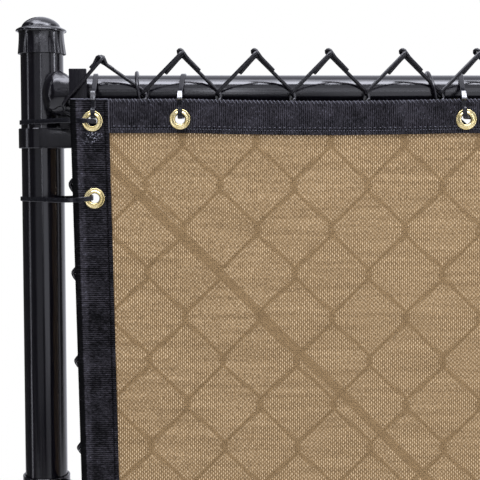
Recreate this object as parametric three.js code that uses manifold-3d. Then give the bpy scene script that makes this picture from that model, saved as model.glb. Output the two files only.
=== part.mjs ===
// Privacy fence screen: a knitted mesh cloth, bound in webbing and set with grommets, laced with
// cable ties to the front of one bay of chain-link fence.
// Millimetres, +Z up, ground at z = 0. X runs along the fence and the screen hangs on its -Y side.
// Heights and places are counted from the left post's axis; the whole is centred at the end.

import * as THREE from 'three';
import { mergeVertices } from 'three/addons/utils/BufferGeometryUtils.js';
import Module from 'manifold-3d';

const wasm = await Module();
wasm.setup();

const air = 0.35; // kept between two pieces that touch
const bendOverlap = 0.8; // of two round bars that meet in a bend, in radii
const degree = Math.PI / 180;

const post = { spacing: 799.4, radius: 20.65, top: 1030.6, sides: 20 };
const cap = {
  top: 1046.3,
  domeBase: 1037,
  domeRadius: 18.5,
  rimRadius: 24,
  rimTop: 1034,
  rimFoot: 1032.6,
  neckRadius: 22,
  neckTop: 1030,
  skirtRadius: 22.9,
  skirtFoot: 1010,
  bore: 21.1,
};
const rail = { height: 970, y: -31, radius: 17.45, end: 21.4 };
const railCup = { centre: 26, radius: 19.3, mouth: 44, bore: 17.85, boreEnd: 21 };
const bar = { left: 34.9, width: 16.2, back: -52.75, thick: 4.5, top: 991.7, foot: 40 };
const rod = { radius: 4.6, y: -16, end: 40, topHeight: 929.2, slope: 0.989, sides: 12 };
const tensionWire = { radius: 2.25, y: -46.2, height: 44, end: 9, bend: 33, endY: -25.9, sides: 8 };
const band = {
  top: 929.7, // heights of the bands' middles
  middle: 585.7,
  low: 330,
  foot: 110,
  height: 18.5,
  thick: 2.2,
  reach: 56, // of a brace band's ears
  earGap: 10,
  backEarStart: 19.5,
  braceBolt: 30,
  barEarGap: 4.6,
  barBolt: 16, // back from the bar
  boltRadius: 3.2,
  boltProud: 3,
  boltSides: 8,
};

// The netting: zigzag wires hooked into each other where columns and rows cross
const netting = {
  columns: 22,
  firstColumn: 34.9,
  columnStep: 34.25,
  wideFrom: 12, // from this column on, the netting is stretched a little wider
  wideStep: 35.4,
  topRow: 1008.5,
  firstPeak: { x: 66.5, z: 1004 }, // the first wire's bent end stands lower than the others
  endDrop: 3.3, // of the end loops on the left
  innerLean: 1.75 * degree, // of the columns between the first and the wide ones
  firstRow: 971,
  rowStep: 41.3,
  rows: 25,
  y: -60.2,
  wireDepth: 2.2,
  knotHalfHeight: 3.8,
  knotHalfWidth: 2.2,
};

const screen = {
  left: 36.8,
  width: 725.8,
  top: 963.2,
  height: 912.5,
  leftLean: 1.21 * degree,
  rightLean: 0.75 * degree,
  y: -67.1, // the cloth's middle layer
  clothThick: 1.2,
  sag: 2, // of the top edge halfway between two far grommets
  bottomSag: 0.5, // of the bottom edge, as a share of the top edge's
  farSpan: 262.2,
  billow: 3.2, // most that the cloth stands forward of its tied edge
  billowFlatness: 1.3, // more keeps the top and bottom edges flatter
  waveDepth: 0.35, // share of the billow that comes and goes in soft upright waves
  waves: 2.3, // across the width
  waveLean: 0.35, // waves that the pattern moves over from top to bottom
};

const binding = { sideWidth: 35.6, topWidth: 31.2, leaf: 1, fold: 1.2 };
const grommet = {
  radius: 9.5,
  hole: 4.4,
  barrel: 5.2,
  crownHeight: 3.4,
  clear: 0.5, // between the flange and the binding
  sides: 12,
  seatSides: 8,
  seatReach: 8,
};
const tie = {
  width: 4.2,
  thick: 1.2,
  front: -71.7,
  holeEnd: -63.4,
  behind: -60,
  uprightPull: 2.7, // how far an upright strap sits off the hole's middle
  levelPull: 2.1,
  edgeToTurn: 3.4, // from the screen's edge to where an upright tie turns over towards its pipe
  levelTurn: 19, // from the hole to where a level tie turns towards the post
  roundSteps: 8,
  mostRound: 1.2 * Math.PI, // that a strap turns round a pipe
  sharpestMitre: 0.5, // keeps a tight bend from standing out to a point
  headSize: [5.6, 4.4, 7],
  headShift: 0.85, // share of an upright strap's sideways shift that its head has
  headForward: 3, // of the post's axis, for the head of a level tie
};

const lerp = THREE.MathUtils.lerp;

const finish = {
  vinyl: { color: 0x17171a, roughness: 0.32, metalness: 0.1 },
  webbing: { color: 0x1c1c1f, roughness: 0.85, metalness: 0 },
  knit: { color: 0xb09570, roughness: 0.9, metalness: 0 },
  brass: { color: 0xd8bf78, roughness: 0.25, metalness: 1 },
  nylon: { color: 0x141416, roughness: 0.4, metalness: 0 },
};

const group = new THREE.Group();

function place(name, geometry, look, position = [0, 0, 0]) {
  const mesh = new THREE.Mesh(geometry, new THREE.MeshStandardMaterial(finish[look]));
  mesh.name = name;
  mesh.position.set(...position);
  group.add(mesh);
  return mesh;
}

// Positions only, shared corners merged, faces turned outward
function closed(geometry) {
  const bare = geometry.clone();
  bare.deleteAttribute('normal');
  bare.deleteAttribute('uv');
  const merged = mergeVertices(bare, 1e-3);
  if (signedVolume(merged) < 0) {
    const index = merged.index.array;
    for (let i = 0; i < index.length; i += 3) {
      [index[i], index[i + 1]] = [index[i + 1], index[i]];
    }
  }
  return merged;
}

function signedVolume(geometry) {
  const at = geometry.attributes.position;
  const index = geometry.index.array;
  const corner = (i) => new THREE.Vector3().fromBufferAttribute(at, index[i]);
  let volume = 0;
  for (let i = 0; i < index.length; i += 3) {
    volume += corner(i).dot(corner(i + 1).cross(corner(i + 2))) / 6;
  }
  return volume;
}

function toManifold(geometry) {
  const merged = closed(geometry);
  return new wasm.Manifold(new wasm.Mesh({
    numProp: 3,
    vertProperties: new Float32Array(merged.attributes.position.array),
    triVerts: new Uint32Array(merged.index.array),
  }));
}

function fromManifold(body) {
  const mesh = body.getMesh();
  const geometry = new THREE.BufferGeometry();
  geometry.setAttribute('position', new THREE.BufferAttribute(mesh.vertProperties, 3));
  geometry.setIndex(new THREE.BufferAttribute(mesh.triVerts, 1));
  return geometry;
}

function joined(geometries) {
  return fromManifold(geometries.map(toManifold).reduce((all, next) => all.add(next)));
}

function boxBetween(low, high) {
  const size = high.map((value, i) => value - low[i]);
  const middle = high.map((value, i) => (value + low[i]) / 2);
  return new THREE.BoxGeometry(...size).translate(...middle);
}

function cylinderAlongY(radius, front, back, x, z, sides) {
  const geometry = new THREE.CylinderGeometry(radius, radius, back - front, sides);
  return geometry.translate(0, (front + back) / 2, 0).translate(x, 0, z);
}

// Posts: pipe, shown plain and set in the ground at z = 0
function postGeometry() {
  const pipe = new THREE.CylinderGeometry(post.radius, post.radius, post.top, post.sides);
  return pipe.rotateX(Math.PI / 2).translate(0, 0, post.top / 2);
}

// Dome cap pressed over the top of a post
function capGeometry() {
  const profile = [new THREE.Vector2(0, cap.top)];
  const domeRise = cap.top - cap.domeBase;
  const domeSteps = 4;
  for (let i = 1; i <= domeSteps; i += 1) {
    const turn = (i / domeSteps) * (Math.PI / 2);
    const z = cap.domeBase + domeRise * Math.cos(turn);
    profile.push(new THREE.Vector2(cap.domeRadius * Math.sin(turn), z));
  }
  profile.push(new THREE.Vector2(cap.rimRadius, cap.rimTop));
  profile.push(new THREE.Vector2(cap.rimRadius, cap.rimFoot));
  profile.push(new THREE.Vector2(cap.neckRadius, cap.neckTop));
  profile.push(new THREE.Vector2(cap.skirtRadius, cap.skirtFoot));
  profile.push(new THREE.Vector2(cap.bore, cap.skirtFoot));
  profile.push(new THREE.Vector2(cap.bore, post.top + air));
  profile.push(new THREE.Vector2(0, post.top + air));
  return new THREE.LatheGeometry(profile.reverse(), post.sides).rotateX(Math.PI / 2);
}

// Domed cup over the end of the top rail; it opens towards +X
function railCupGeometry() {
  const profile = [];
  const domeSteps = 5;
  for (let i = 0; i <= domeSteps; i += 1) {
    const turn = (i / domeSteps) * (Math.PI / 2);
    const along = railCup.centre - railCup.radius * Math.cos(turn);
    profile.push(new THREE.Vector2(railCup.radius * Math.sin(turn), along));
  }
  profile.push(new THREE.Vector2(railCup.radius, railCup.mouth));
  profile.push(new THREE.Vector2(railCup.bore, railCup.mouth));
  profile.push(new THREE.Vector2(railCup.bore, railCup.boreEnd));
  profile.push(new THREE.Vector2(0, railCup.boreEnd));
  return new THREE.LatheGeometry(profile, post.sides).rotateZ(-Math.PI / 2);
}

function mirrored(geometry) {
  return closed(geometry.clone().scale(-1, 1, 1));
}

for (const [side, x] of [['left', 0], ['right', post.spacing]]) {
  place(`post_${side}`, postGeometry(), 'vinyl', [x, 0, 0]);
  place(`cap_${side}`, capGeometry(), 'vinyl', [x, 0, 0]);
}

place('rail_end_left', railCupGeometry(), 'vinyl', [0, rail.y, rail.height]);
place('rail_end_right', mirrored(railCupGeometry()), 'vinyl', [post.spacing, rail.y, rail.height]);
const railLength = post.spacing - 2 * rail.end;
const railPipe = new THREE.CylinderGeometry(rail.radius, rail.radius, railLength, post.sides);
place('top_rail', railPipe.rotateZ(-Math.PI / 2), 'vinyl', [post.spacing / 2, rail.y, rail.height]);

// How far a point at height z has leaned to the right, for a given lean
function leaned(z, lean, from = netting.firstRow) {
  return Math.tan(lean) * (from - z);
}

// Flat bars threaded through the netting's end loops, leaning with it
const barLean = { left: 1.37 * degree, right: 0.75 * degree };

function barGeometry(lean) {
  const flat = new THREE.BoxGeometry(bar.width, bar.thick, bar.top - bar.foot);
  flat.translate(0, bar.back - bar.thick / 2, (bar.top + bar.foot) / 2);
  const at = flat.attributes.position;
  for (let i = 0; i < at.count; i += 1) {
    at.setX(i, at.getX(i) + leaned(at.getZ(i), lean));
  }
  return flat;
}

const barMiddle = bar.left + bar.width / 2;
place('tension_bar_left', barGeometry(barLean.left), 'vinyl', [barMiddle, 0, 0]);
place('tension_bar_right', barGeometry(barLean.right), 'vinyl', [post.spacing - barMiddle, 0, 0]);

// Column x at the first row, and the lean of that column
function columnX(column) {
  const even = Math.min(column, netting.wideFrom);
  return netting.firstColumn + even * netting.columnStep + (column - even) * netting.wideStep;
}

function columnLean(column) {
  if (column === 0) return barLean.left;
  const past = Math.max(0, column - netting.wideFrom) / (netting.columns - 1 - netting.wideFrom);
  return lerp(netting.innerLean, barLean.right, past);
}

function rowHeight(row) {
  return row === 0 ? netting.topRow : netting.firstRow - (row - 1) * netting.rowStep;
}

// One closed lattice. A knot has six corners: front, back, top, right, foot and left. Each leg joins
// four corners of one knot to four of the next, and a side of a knot with no leg is closed.
function nettingGeometry() {
  const corners = [];
  const triangles = [];
  const knots = new Map();
  const knotAt = (column, row) => knots.get(`${column},${row}`);
  for (let column = 0; column < netting.columns; column += 1) {
    for (let row = 0; row < netting.rows; row += 1) {
      if ((column + row) % 2 === 0) continue;
      const atFirstPeak = column === 1 && row === 0;
      const z = atFirstPeak ? netting.firstPeak.z : rowHeight(row) - (column === 0 ? netting.endDrop : 0);
      const x = atFirstPeak ? netting.firstPeak.x : columnX(column) + leaned(z, columnLean(column));
      const { y, wireDepth, knotHalfHeight: tall, knotHalfWidth: wide } = netting;
      const first = corners.length / 3;
      corners.push(x, y - wireDepth, z, x, y + wireDepth, z, x, y, z + tall);
      corners.push(x + wide, y, z, x, y, z - tall, x - wide, y, z);
      const [front, back, top, right, foot, left] = [0, 1, 2, 3, 4, 5].map((i) => first + i);
      knots.set(`${column},${row}`, { front, back, top, right, foot, left });
    }
  }
  const quad = (a, b, c, d) => triangles.push(a, b, c, a, c, d);
  for (const [key, here] of knots) {
    const [column, row] = key.split(',').map(Number);
    const lowerRight = knotAt(column + 1, row + 1);
    const lowerLeft = knotAt(column - 1, row + 1);
    if (lowerRight) {
      quad(here.front, here.right, lowerRight.top, lowerRight.front);
      quad(here.right, here.back, lowerRight.back, lowerRight.top);
      quad(here.back, here.foot, lowerRight.left, lowerRight.back);
      quad(here.foot, here.front, lowerRight.front, lowerRight.left);
    } else {
      quad(here.front, here.right, here.back, here.foot);
    }
    if (lowerLeft) {
      quad(here.front, here.foot, lowerLeft.right, lowerLeft.front);
      quad(here.foot, here.back, lowerLeft.back, lowerLeft.right);
      quad(here.back, here.left, lowerLeft.top, lowerLeft.back);
      quad(here.left, here.front, lowerLeft.front, lowerLeft.top);
    } else {
      quad(here.front, here.foot, here.back, here.left);
    }
    if (!knotAt(column + 1, row - 1)) quad(here.front, here.top, here.back, here.right);
    if (!knotAt(column - 1, row - 1)) quad(here.front, here.left, here.back, here.top);
  }
  const geometry = new THREE.BufferGeometry();
  geometry.setAttribute('position', new THREE.Float32BufferAttribute(corners, 3));
  geometry.setIndex(triangles);
  return closed(geometry);
}

place('chain_link', nettingGeometry(), 'vinyl');

// A round bar between two points, a little longer than they are apart so that bars join at a bend
function roundBar(from, to, radius, sides) {
  const run = to.clone().sub(from);
  const length = run.length() + bendOverlap * radius;
  const geometry = new THREE.CylinderGeometry(radius, radius, length, sides);
  const cylinderAxis = new THREE.Vector3(0, 1, 0);
  const turn = new THREE.Quaternion().setFromUnitVectors(cylinderAxis, run.normalize());
  const middle = from.clone().add(to).multiplyScalar(0.5);
  return geometry.applyQuaternion(turn).translate(middle.x, middle.y, middle.z);
}

// Brace rod from the left post's upper band down to the right post's lower band
const rodTop = new THREE.Vector3(rod.end, rod.y, rod.topHeight);
const rodRun = post.spacing - 2 * rod.end;
const rodFoot = rodTop.clone().add(new THREE.Vector3(rodRun, 0, -rod.slope * rodRun));
place('truss_rod', roundBar(rodTop, rodFoot, rod.radius, rod.sides), 'vinyl');

// Tension wire along the netting's foot, its ends turned back to the posts
function tensionWireGeometry() {
  const { y, height: z, end, bend, endY, radius, sides } = tensionWire;
  const stops = [
    new THREE.Vector3(end, endY, z),
    new THREE.Vector3(bend, y, z),
    new THREE.Vector3(post.spacing - bend, y, z),
    new THREE.Vector3(post.spacing - end, endY, z),
  ];
  return joined(stops.slice(1).map((stop, i) => roundBar(stops[i], stop, radius, sides)));
}

place('tension_wire', tensionWireGeometry(), 'vinyl');

// A clamp ring round a post, in the band's own frame
function ringGeometry() {
  const inner = post.radius + air;
  const outer = inner + band.thick;
  const half = band.height / 2;
  const profile = [[inner, -half], [outer, -half], [outer, half], [inner, half], [inner, -half]];
  const points = profile.map(([r, z]) => new THREE.Vector2(r, z));
  return new THREE.LatheGeometry(points, post.sides).rotateX(Math.PI / 2);
}

// Brace band: two ears towards +X with the rod's end between them, and a bolt through both
function braceBand() {
  const half = band.height / 2;
  const frontEar = -(post.radius + air + band.thick);
  const backEar = frontEar + band.thick + band.earGap;
  const backFace = backEar + band.thick;
  return joined([
    ringGeometry(),
    boxBetween([0, frontEar, -half], [band.reach, frontEar + band.thick, half]),
    boxBetween([band.backEarStart, backEar, -half], [band.reach, backFace, half]),
    boltAlongY(frontEar - band.boltProud, backFace + band.boltProud, band.braceBolt),
  ]);
}

function boltAlongY(front, back, x) {
  return cylinderAlongY(band.boltRadius, front, back, x, 0, band.boltSides);
}

// Tension band: two ears that reach forward to the back of the bar, which stands barX from the post
function tensionBand(barX) {
  const half = band.height / 2;
  const toBar = new THREE.Vector2(barX, bar.back + air);
  const start = post.radius + air + band.thick / 2;
  const past = toBar.length() + band.barEarGap;
  const turn = Math.atan2(toBar.y, toBar.x);
  const earFaces = [-band.thick - band.barEarGap / 2, band.barEarGap / 2];
  const ears = earFaces.map((face) => boxBetween([start, face, -half], [past, face + band.thick, half]));
  const boltHalf = band.barEarGap / 2 + band.thick + band.boltProud;
  const bolt = boltAlongY(-boltHalf, boltHalf, toBar.length() - band.barBolt);
  const turned = [...ears, bolt].map((piece) => piece.rotateZ(turn));
  const clamp = toManifold(joined([ringGeometry(), ...turned]));
  const barRoom = boxBetween([0, toBar.y - past, -band.height], [2 * past, toBar.y, band.height]);
  return fromManifold(clamp.subtract(toManifold(barRoom)));
}

const bandTable = {
  left: [['brace', band.top], ['tension', band.middle], ['tension', band.low], ['tension', band.foot]],
  right: [['tension', band.top], ['tension', band.middle], ['brace', rodFoot.z], ['tension', band.foot]],
};

for (const [side, rows] of Object.entries(bandTable)) {
  const outward = side === 'left' ? 1 : -1;
  rows.forEach(([kind, z], i) => {
    const fromPost = barMiddle + outward * leaned(z, barLean[side]);
    const shape = kind === 'brace' ? braceBand() : tensionBand(fromPost);
    const x = side === 'left' ? 0 : post.spacing;
    place(`band_${side}_${i + 1}`, outward > 0 ? shape : mirrored(shape), 'vinyl', [x, 0, z]);
  });
}

// Grommet places, in mm from the screen's left edge and from its top edge
const topRun = [
  { across: 20.3, down: 20.2 },
  { across: 100.7, down: 18.6 },
  { across: screen.width / 2, down: 18.8 },
  { across: screen.width - 100.7, down: 18.6 },
  { across: screen.width - 20.3, down: 20.2 },
];
const sideDowns = [91, 452, screen.height - 91];

// How far between two grommets a point of the top or bottom edge is, 0 at a grommet, 1 halfway
function slack(across) {
  for (let i = 1; i < topRun.length; i += 1) {
    const from = topRun[i - 1].across;
    const to = topRun[i].across;
    if (across >= from && across <= to) {
      return Math.sin((Math.PI * (across - from)) / (to - from)) * ((to - from) / screen.farSpan) ** 2;
    }
  }
  return 0;
}

// A place on the hung screen: mm from the left and top edge of the cut cloth, and mm to its front
function onScreen(across, down, out = 0) {
  const part = across / screen.width;
  const fall = down / screen.height;
  const sag = screen.sag * slack(across) * (screen.bottomSag * fall - (1 - fall));
  const z = screen.top - down + sag;
  const left = screen.left + leaned(z, screen.leftLean, screen.top);
  const right = screen.left + screen.width + leaned(z, screen.rightLean, screen.top);
  const wave = Math.cos(2 * Math.PI * (screen.waves * part + screen.waveLean * fall));
  const depth = 1 - screen.waveDepth * (1 - wave);
  const fromEnds = Math.max(0, Math.sin(Math.PI * fall)) ** screen.billowFlatness;
  const forward = screen.billow * Math.sin(Math.PI * part) * fromEnds * depth;
  return new THREE.Vector3(lerp(left, right, part), screen.y - forward - out, z);
}

// Bends a flat shape onto the screen: its x is across, its z is down and its y is towards the front
function hung(geometry) {
  const at = geometry.attributes.position;
  for (let i = 0; i < at.count; i += 1) {
    const spot = onScreen(at.getX(i), at.getZ(i), at.getY(i));
    at.setXYZ(i, spot.x, spot.y, spot.z);
  }
  return geometry;
}

const grommets = [];
topRun.forEach(({ across, down }, i) => {
  grommets.push({ name: `grommet_top_${i + 1}`, across, down });
  grommets.push({ name: `grommet_bottom_${i + 1}`, across, down: screen.height - down });
});
sideDowns.forEach((down, i) => {
  const across = topRun[0].across;
  grommets.push({ name: `grommet_left_${i + 1}`, across, down });
  grommets.push({ name: `grommet_right_${i + 1}`, across: screen.width - across, down });
});
for (const one of grommets) {
  one.spot = onScreen(one.across, one.down);
}

// Cuts the grommets' seats through a layer of the screen
function punched(geometry) {
  const { seatSides, seatReach, barrel } = grommet;
  const radius = (barrel + air) / Math.cos(Math.PI / seatSides);
  const seats = grommets.map(({ spot: { x, y, z } }) =>
    toManifold(cylinderAlongY(radius, y - seatReach, y + seatReach, x, z, seatSides)));
  return fromManifold(seats.reduce((body, seat) => body.subtract(seat), toManifold(geometry)));
}

// The cloth fills the channel of its binding on all four sides
function clothGeometry() {
  const inset = binding.fold + air;
  const wide = screen.width - 2 * inset;
  const tall = screen.height - 2 * inset;
  const sheet = new THREE.BoxGeometry(wide, screen.clothThick, tall, 18, 1, 12);
  sheet.translate(screen.width / 2, 0, screen.height / 2);
  return punched(hung(sheet));
}

place('screen_cloth', clothGeometry(), 'knit');

// Binding: webbing folded round the cloth's edge. Drawn across its width, then run along the edge.
function foldedWebbing(width, length, steps) {
  const inner = screen.clothThick / 2 + air;
  const outer = inner + binding.leaf;
  const outline = [
    [0, -outer], [width, -outer], [width, -inner], [binding.fold, -inner],
    [binding.fold, inner], [width, inner], [width, outer], [0, outer],
  ];
  const shape = new THREE.Shape(outline.map(([across, out]) => new THREE.Vector2(across, out)));
  return new THREE.ExtrudeGeometry(shape, { depth: length, steps, bevelEnabled: false });
}

function sideBinding(side) {
  const strip = foldedWebbing(binding.sideWidth, screen.height, 12);
  if (side === 'right') strip.scale(-1, 1, 1).translate(screen.width, 0, 0);
  return punched(hung(strip));
}

function endBinding(end) {
  const from = binding.sideWidth + air;
  const strip = foldedWebbing(binding.topWidth, screen.width - 2 * from, 16);
  strip.rotateY(Math.PI / 2).scale(1, 1, -1).translate(from, 0, 0);
  if (end === 'bottom') strip.scale(1, 1, -1).translate(0, 0, screen.height);
  return punched(hung(strip));
}

place('binding_left', sideBinding('left'), 'webbing');
place('binding_right', sideBinding('right'), 'webbing');
place('binding_top', endBinding('top'), 'webbing');
place('binding_bottom', endBinding('bottom'), 'webbing');

// Rolled brass grommet, its axis along Y
function grommetGeometry() {
  const seat = screen.clothThick / 2 + air + binding.leaf + grommet.clear;
  const half = [[grommet.hole, grommet.crownHeight], [grommet.radius, seat], [grommet.barrel, seat]];
  const back = half.map(([r, h]) => [r, -h]).reverse();
  const profile = [...half, ...back, half[0]].map(([r, h]) => new THREE.Vector2(r, h));
  return new THREE.LatheGeometry(profile, grommet.sides);
}

for (const { name, spot } of grommets) {
  place(name, closed(grommetGeometry()), 'brass', spot.toArray());
}

// A strap closed into a loop. Each stop has a place (a, b) in the loop's plane and a shift along the
// strap's width; the strap's thickness lies in the plane.
function strapLoop(stops, toSpace) {
  const corners = [];
  const triangles = [];
  const count = stops.length;
  stops.forEach((here, i) => {
    const before = stops[(i + count - 1) % count];
    const after = stops[(i + 1) % count];
    const into = new THREE.Vector2(here.a - before.a, here.b - before.b).normalize();
    const onward = new THREE.Vector2(after.a - here.a, after.b - here.b).normalize();
    const outward = new THREE.Vector2(into.y + onward.y, -into.x - onward.x).normalize();
    const stretch = 1 / Math.max(tie.sharpestMitre, outward.dot(new THREE.Vector2(into.y, -into.x)));
    for (const [side, edge] of [[-1, -1], [1, -1], [1, 1], [-1, 1]]) {
      const off = (side * stretch * tie.thick) / 2;
      const along = (here.shift ?? 0) + (edge * tie.width) / 2;
      corners.push(...toSpace(here.a + outward.x * off, here.b + outward.y * off, along));
    }
    for (let k = 0; k < 4; k += 1) {
      const a = i * 4 + k;
      const b = i * 4 + ((k + 1) % 4);
      const c = ((i + 1) % count) * 4 + ((k + 1) % 4);
      const d = ((i + 1) % count) * 4 + k;
      triangles.push(a, b, c, a, c, d);
    }
  });
  const geometry = new THREE.BufferGeometry();
  geometry.setAttribute('position', new THREE.Float32BufferAttribute(corners, 3));
  geometry.setIndex(triangles);
  return closed(geometry);
}

// Stops round a circle, from the tangent of one outside place to the tangent of another
function roundStops(centre, radius, from, to) {
  const steps = tie.roundSteps;
  const clear = (radius + air) / Math.cos(tie.mostRound / steps / 2) + tie.thick / 2;
  const tangent = (outside, side) => {
    const away = new THREE.Vector2(outside.a - centre.a, outside.b - centre.b);
    return Math.atan2(away.y, away.x) + side * Math.acos(clear / away.length());
  };
  const start = tangent(from, -1);
  let stop = tangent(to, 1);
  while (stop > start) stop -= 2 * Math.PI;
  const stops = [];
  for (let i = 0; i <= steps; i += 1) {
    const turn = lerp(start, stop, i / steps);
    stops.push({ a: centre.a + clear * Math.cos(turn), b: centre.b + clear * Math.sin(turn) });
  }
  return stops;
}

// Upright tie: out of the grommet, in front of the binding, round a pipe and back through the netting.
// It goes up to the pipe where up is 1 and down to it where up is -1. Its front run and its run behind
// the screen stand off to one side where a wire of the netting is in the way.
function uprightTie(spot, pipe, up, { front: frontShift, behind: behindShift, pull = tie.uprightPull }) {
  const pipeUp = up * (pipe.height - spot.z);
  const edge = up > 0 ? screen.top : screen.top - screen.height;
  const turnUp = tie.edgeToTurn + up * (edge - spot.z);
  const frontTurn = { a: tie.front, b: turnUp, shift: frontShift };
  const behind = { a: tie.behind, b: pull, shift: behindShift };
  const round = roundStops({ a: pipe.y, b: pipeUp }, pipe.radius, frontTurn, behind);
  round.forEach((stop, i) => {
    stop.shift = lerp(frontShift, behindShift, i / (round.length - 1));
  });
  const stops = [{ a: tie.front, b: pull }, frontTurn, ...round, behind, { a: tie.holeEnd, b: pull }];
  const toSpace = (a, b, along) => [spot.x + along, a, spot.z + up * b];
  const [wide, deep, tall] = tie.headSize;
  const head = new THREE.BoxGeometry(wide, deep, tall);
  const headFront = tie.front - deep / 2 + tie.thick;
  head.translate(spot.x + frontShift * tie.headShift, headFront, spot.z + up * turnUp);
  return joined([strapLoop(stops, toSpace), head]);
}

const byName = new Map(grommets.map((one) => [one.name, one.spot]));
const topPipe = { y: rail.y, height: rail.height, radius: rail.radius };
const topRuns = [
  { front: 0, behind: 5 },
  { front: 0, behind: 0 },
  { front: -4, behind: 4.8 },
  { front: 6.5, behind: 0 },
  { front: 0, behind: -4.2 },
];
const bottomRuns = [
  { front: 0, behind: 0 },
  { front: -1.2, behind: -0.6 },
  { front: 0, behind: 0.8, pull: -2 },
];
topRuns.forEach((run, i) => {
  const spot = byName.get(`grommet_top_${i + 1}`);
  place(`tie_top_${i + 1}`, uprightTie(spot, topPipe, 1, run), 'nylon');
});
bottomRuns.forEach((run, i) => {
  const spot = byName.get(`grommet_bottom_${i + 2}`);
  place(`tie_bottom_${i + 1}`, uprightTie(spot, tensionWire, -1, run), 'nylon');
});

// Level tie: out of the grommet, across the binding, round the post and back past the bar's inner edge.
// Its height at the hole, at the netting and at the post is counted from the hole's middle.
function levelTie(spot, side, heights) {
  const outward = side === 'left' ? 1 : -1;
  const postX = side === 'left' ? 0 : post.spacing;
  const holeX = outward * (spot.x - postX) - tie.levelPull;
  const barEdge = barMiddle + bar.width / 2 + outward * leaned(spot.z, barLean[side]);
  const front = { a: holeX - tie.levelTurn, b: tie.front, shift: heights.post };
  const pastBar = { a: barEdge + tie.thick, b: bar.back + air, shift: heights.netting };
  const round = roundStops({ a: 0, b: 0 }, post.radius, front, pastBar);
  const stops = [
    { a: holeX, b: tie.front, shift: heights.hole },
    front,
    ...round.map((stop) => ({ ...stop, shift: heights.post })),
    pastBar,
    { a: holeX, b: tie.behind, shift: heights.netting },
    { a: holeX, b: tie.holeEnd, shift: heights.hole },
  ];
  const toSpace = (a, b, along) => [postX + outward * a, b, spot.z + along];
  const [wide, deep, tall] = tie.headSize;
  const head = new THREE.BoxGeometry(deep, tall, wide);
  const headX = postX - outward * (post.radius + air + deep / 2);
  head.translate(headX, -tie.headForward, spot.z + heights.post);
  return joined([strapLoop(stops, toSpace), head]);
}

const levelHeights = {
  left: [
    { hole: -0.7, netting: -3.7, post: 0.9 },
    { hole: 0, netting: 0.6, post: -2.3 },
    { hole: 0, netting: 0, post: 0 },
    { hole: 0, netting: 0, post: 0 },
    { hole: 0, netting: 0, post: 0 },
  ],
  right: [
    { hole: -0.7, netting: -2.2, post: -0.3 },
    { hole: 0.6, netting: 6.4, post: 0.8 },
    { hole: 0, netting: 0, post: 0 },
    { hole: 0, netting: 0, post: 0 },
    { hole: 0, netting: 0, post: 0 },
  ],
};
for (const [side, rows] of Object.entries(levelHeights)) {
  const corner = side === 'left' ? 1 : topRun.length;
  const held = [`top_${corner}`, `${side}_1`, `${side}_2`, `${side}_3`, `bottom_${corner}`];
  rows.forEach((heights, i) => {
    const spot = byName.get(`grommet_${held[i]}`);
    place(`tie_${side}_${i + 1}`, levelTie(spot, side, heights), 'nylon');
  });
}

// The origin is the middle of the whole on the ground
const bounds = new THREE.Box3().setFromObject(group);
const middle = bounds.getCenter(new THREE.Vector3());
group.position.set(-middle.x, -middle.y, 0);

export default group;
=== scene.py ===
import math

import bmesh
import bpy
from mathutils import Matrix, Vector, noise


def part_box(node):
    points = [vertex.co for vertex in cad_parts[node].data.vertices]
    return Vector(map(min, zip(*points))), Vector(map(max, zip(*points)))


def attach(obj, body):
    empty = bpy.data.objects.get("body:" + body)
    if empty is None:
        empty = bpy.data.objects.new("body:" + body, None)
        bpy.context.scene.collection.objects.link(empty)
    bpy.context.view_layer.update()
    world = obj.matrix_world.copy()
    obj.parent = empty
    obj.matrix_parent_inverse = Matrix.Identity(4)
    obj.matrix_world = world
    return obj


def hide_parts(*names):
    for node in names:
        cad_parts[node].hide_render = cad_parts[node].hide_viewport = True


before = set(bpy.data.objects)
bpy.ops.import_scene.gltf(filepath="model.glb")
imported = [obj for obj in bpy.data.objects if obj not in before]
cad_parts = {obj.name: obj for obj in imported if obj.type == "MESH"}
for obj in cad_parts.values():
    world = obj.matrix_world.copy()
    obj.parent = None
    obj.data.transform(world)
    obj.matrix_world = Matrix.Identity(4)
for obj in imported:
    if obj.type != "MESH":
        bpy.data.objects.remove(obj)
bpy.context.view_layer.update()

# Everything is drawn in millimetres from the left post's axis on the ground, as the fence is set out:
# x along the fence to the right, y to the back and z up. The screen hangs on the front, at negative y.
mm = 0.001
postLow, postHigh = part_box("post_left")
postAxis = (postLow + postHigh) / 2


def atFence(point):
    x, y, z = point
    return postAxis.x + x * mm, postAxis.y + y * mm, z * mm


def mix(a, b, share):
    return a + (b - a) * share


def limited(share):
    return min(max(share, 0.0), 1.0)


# meshes: a Shape gathers points and faces, and makePiece turns it into a piece of the fence

edges = {
    "tip": 0.02,  # mm, the radius a ring keeps where a profile meets its axis
    "broken": 0.3,  # how far an edge is broken, of a bar's radius or a strap's thickness
}


# a rectangle with its corners cut off
def cutCorners(left, right, low, high, cut):
    return [
        (left, low + cut), (left + cut, low), (right - cut, low), (right, low + cut),
        (right, high - cut), (right - cut, high), (left + cut, high), (left, high - cut),
    ]


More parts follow.
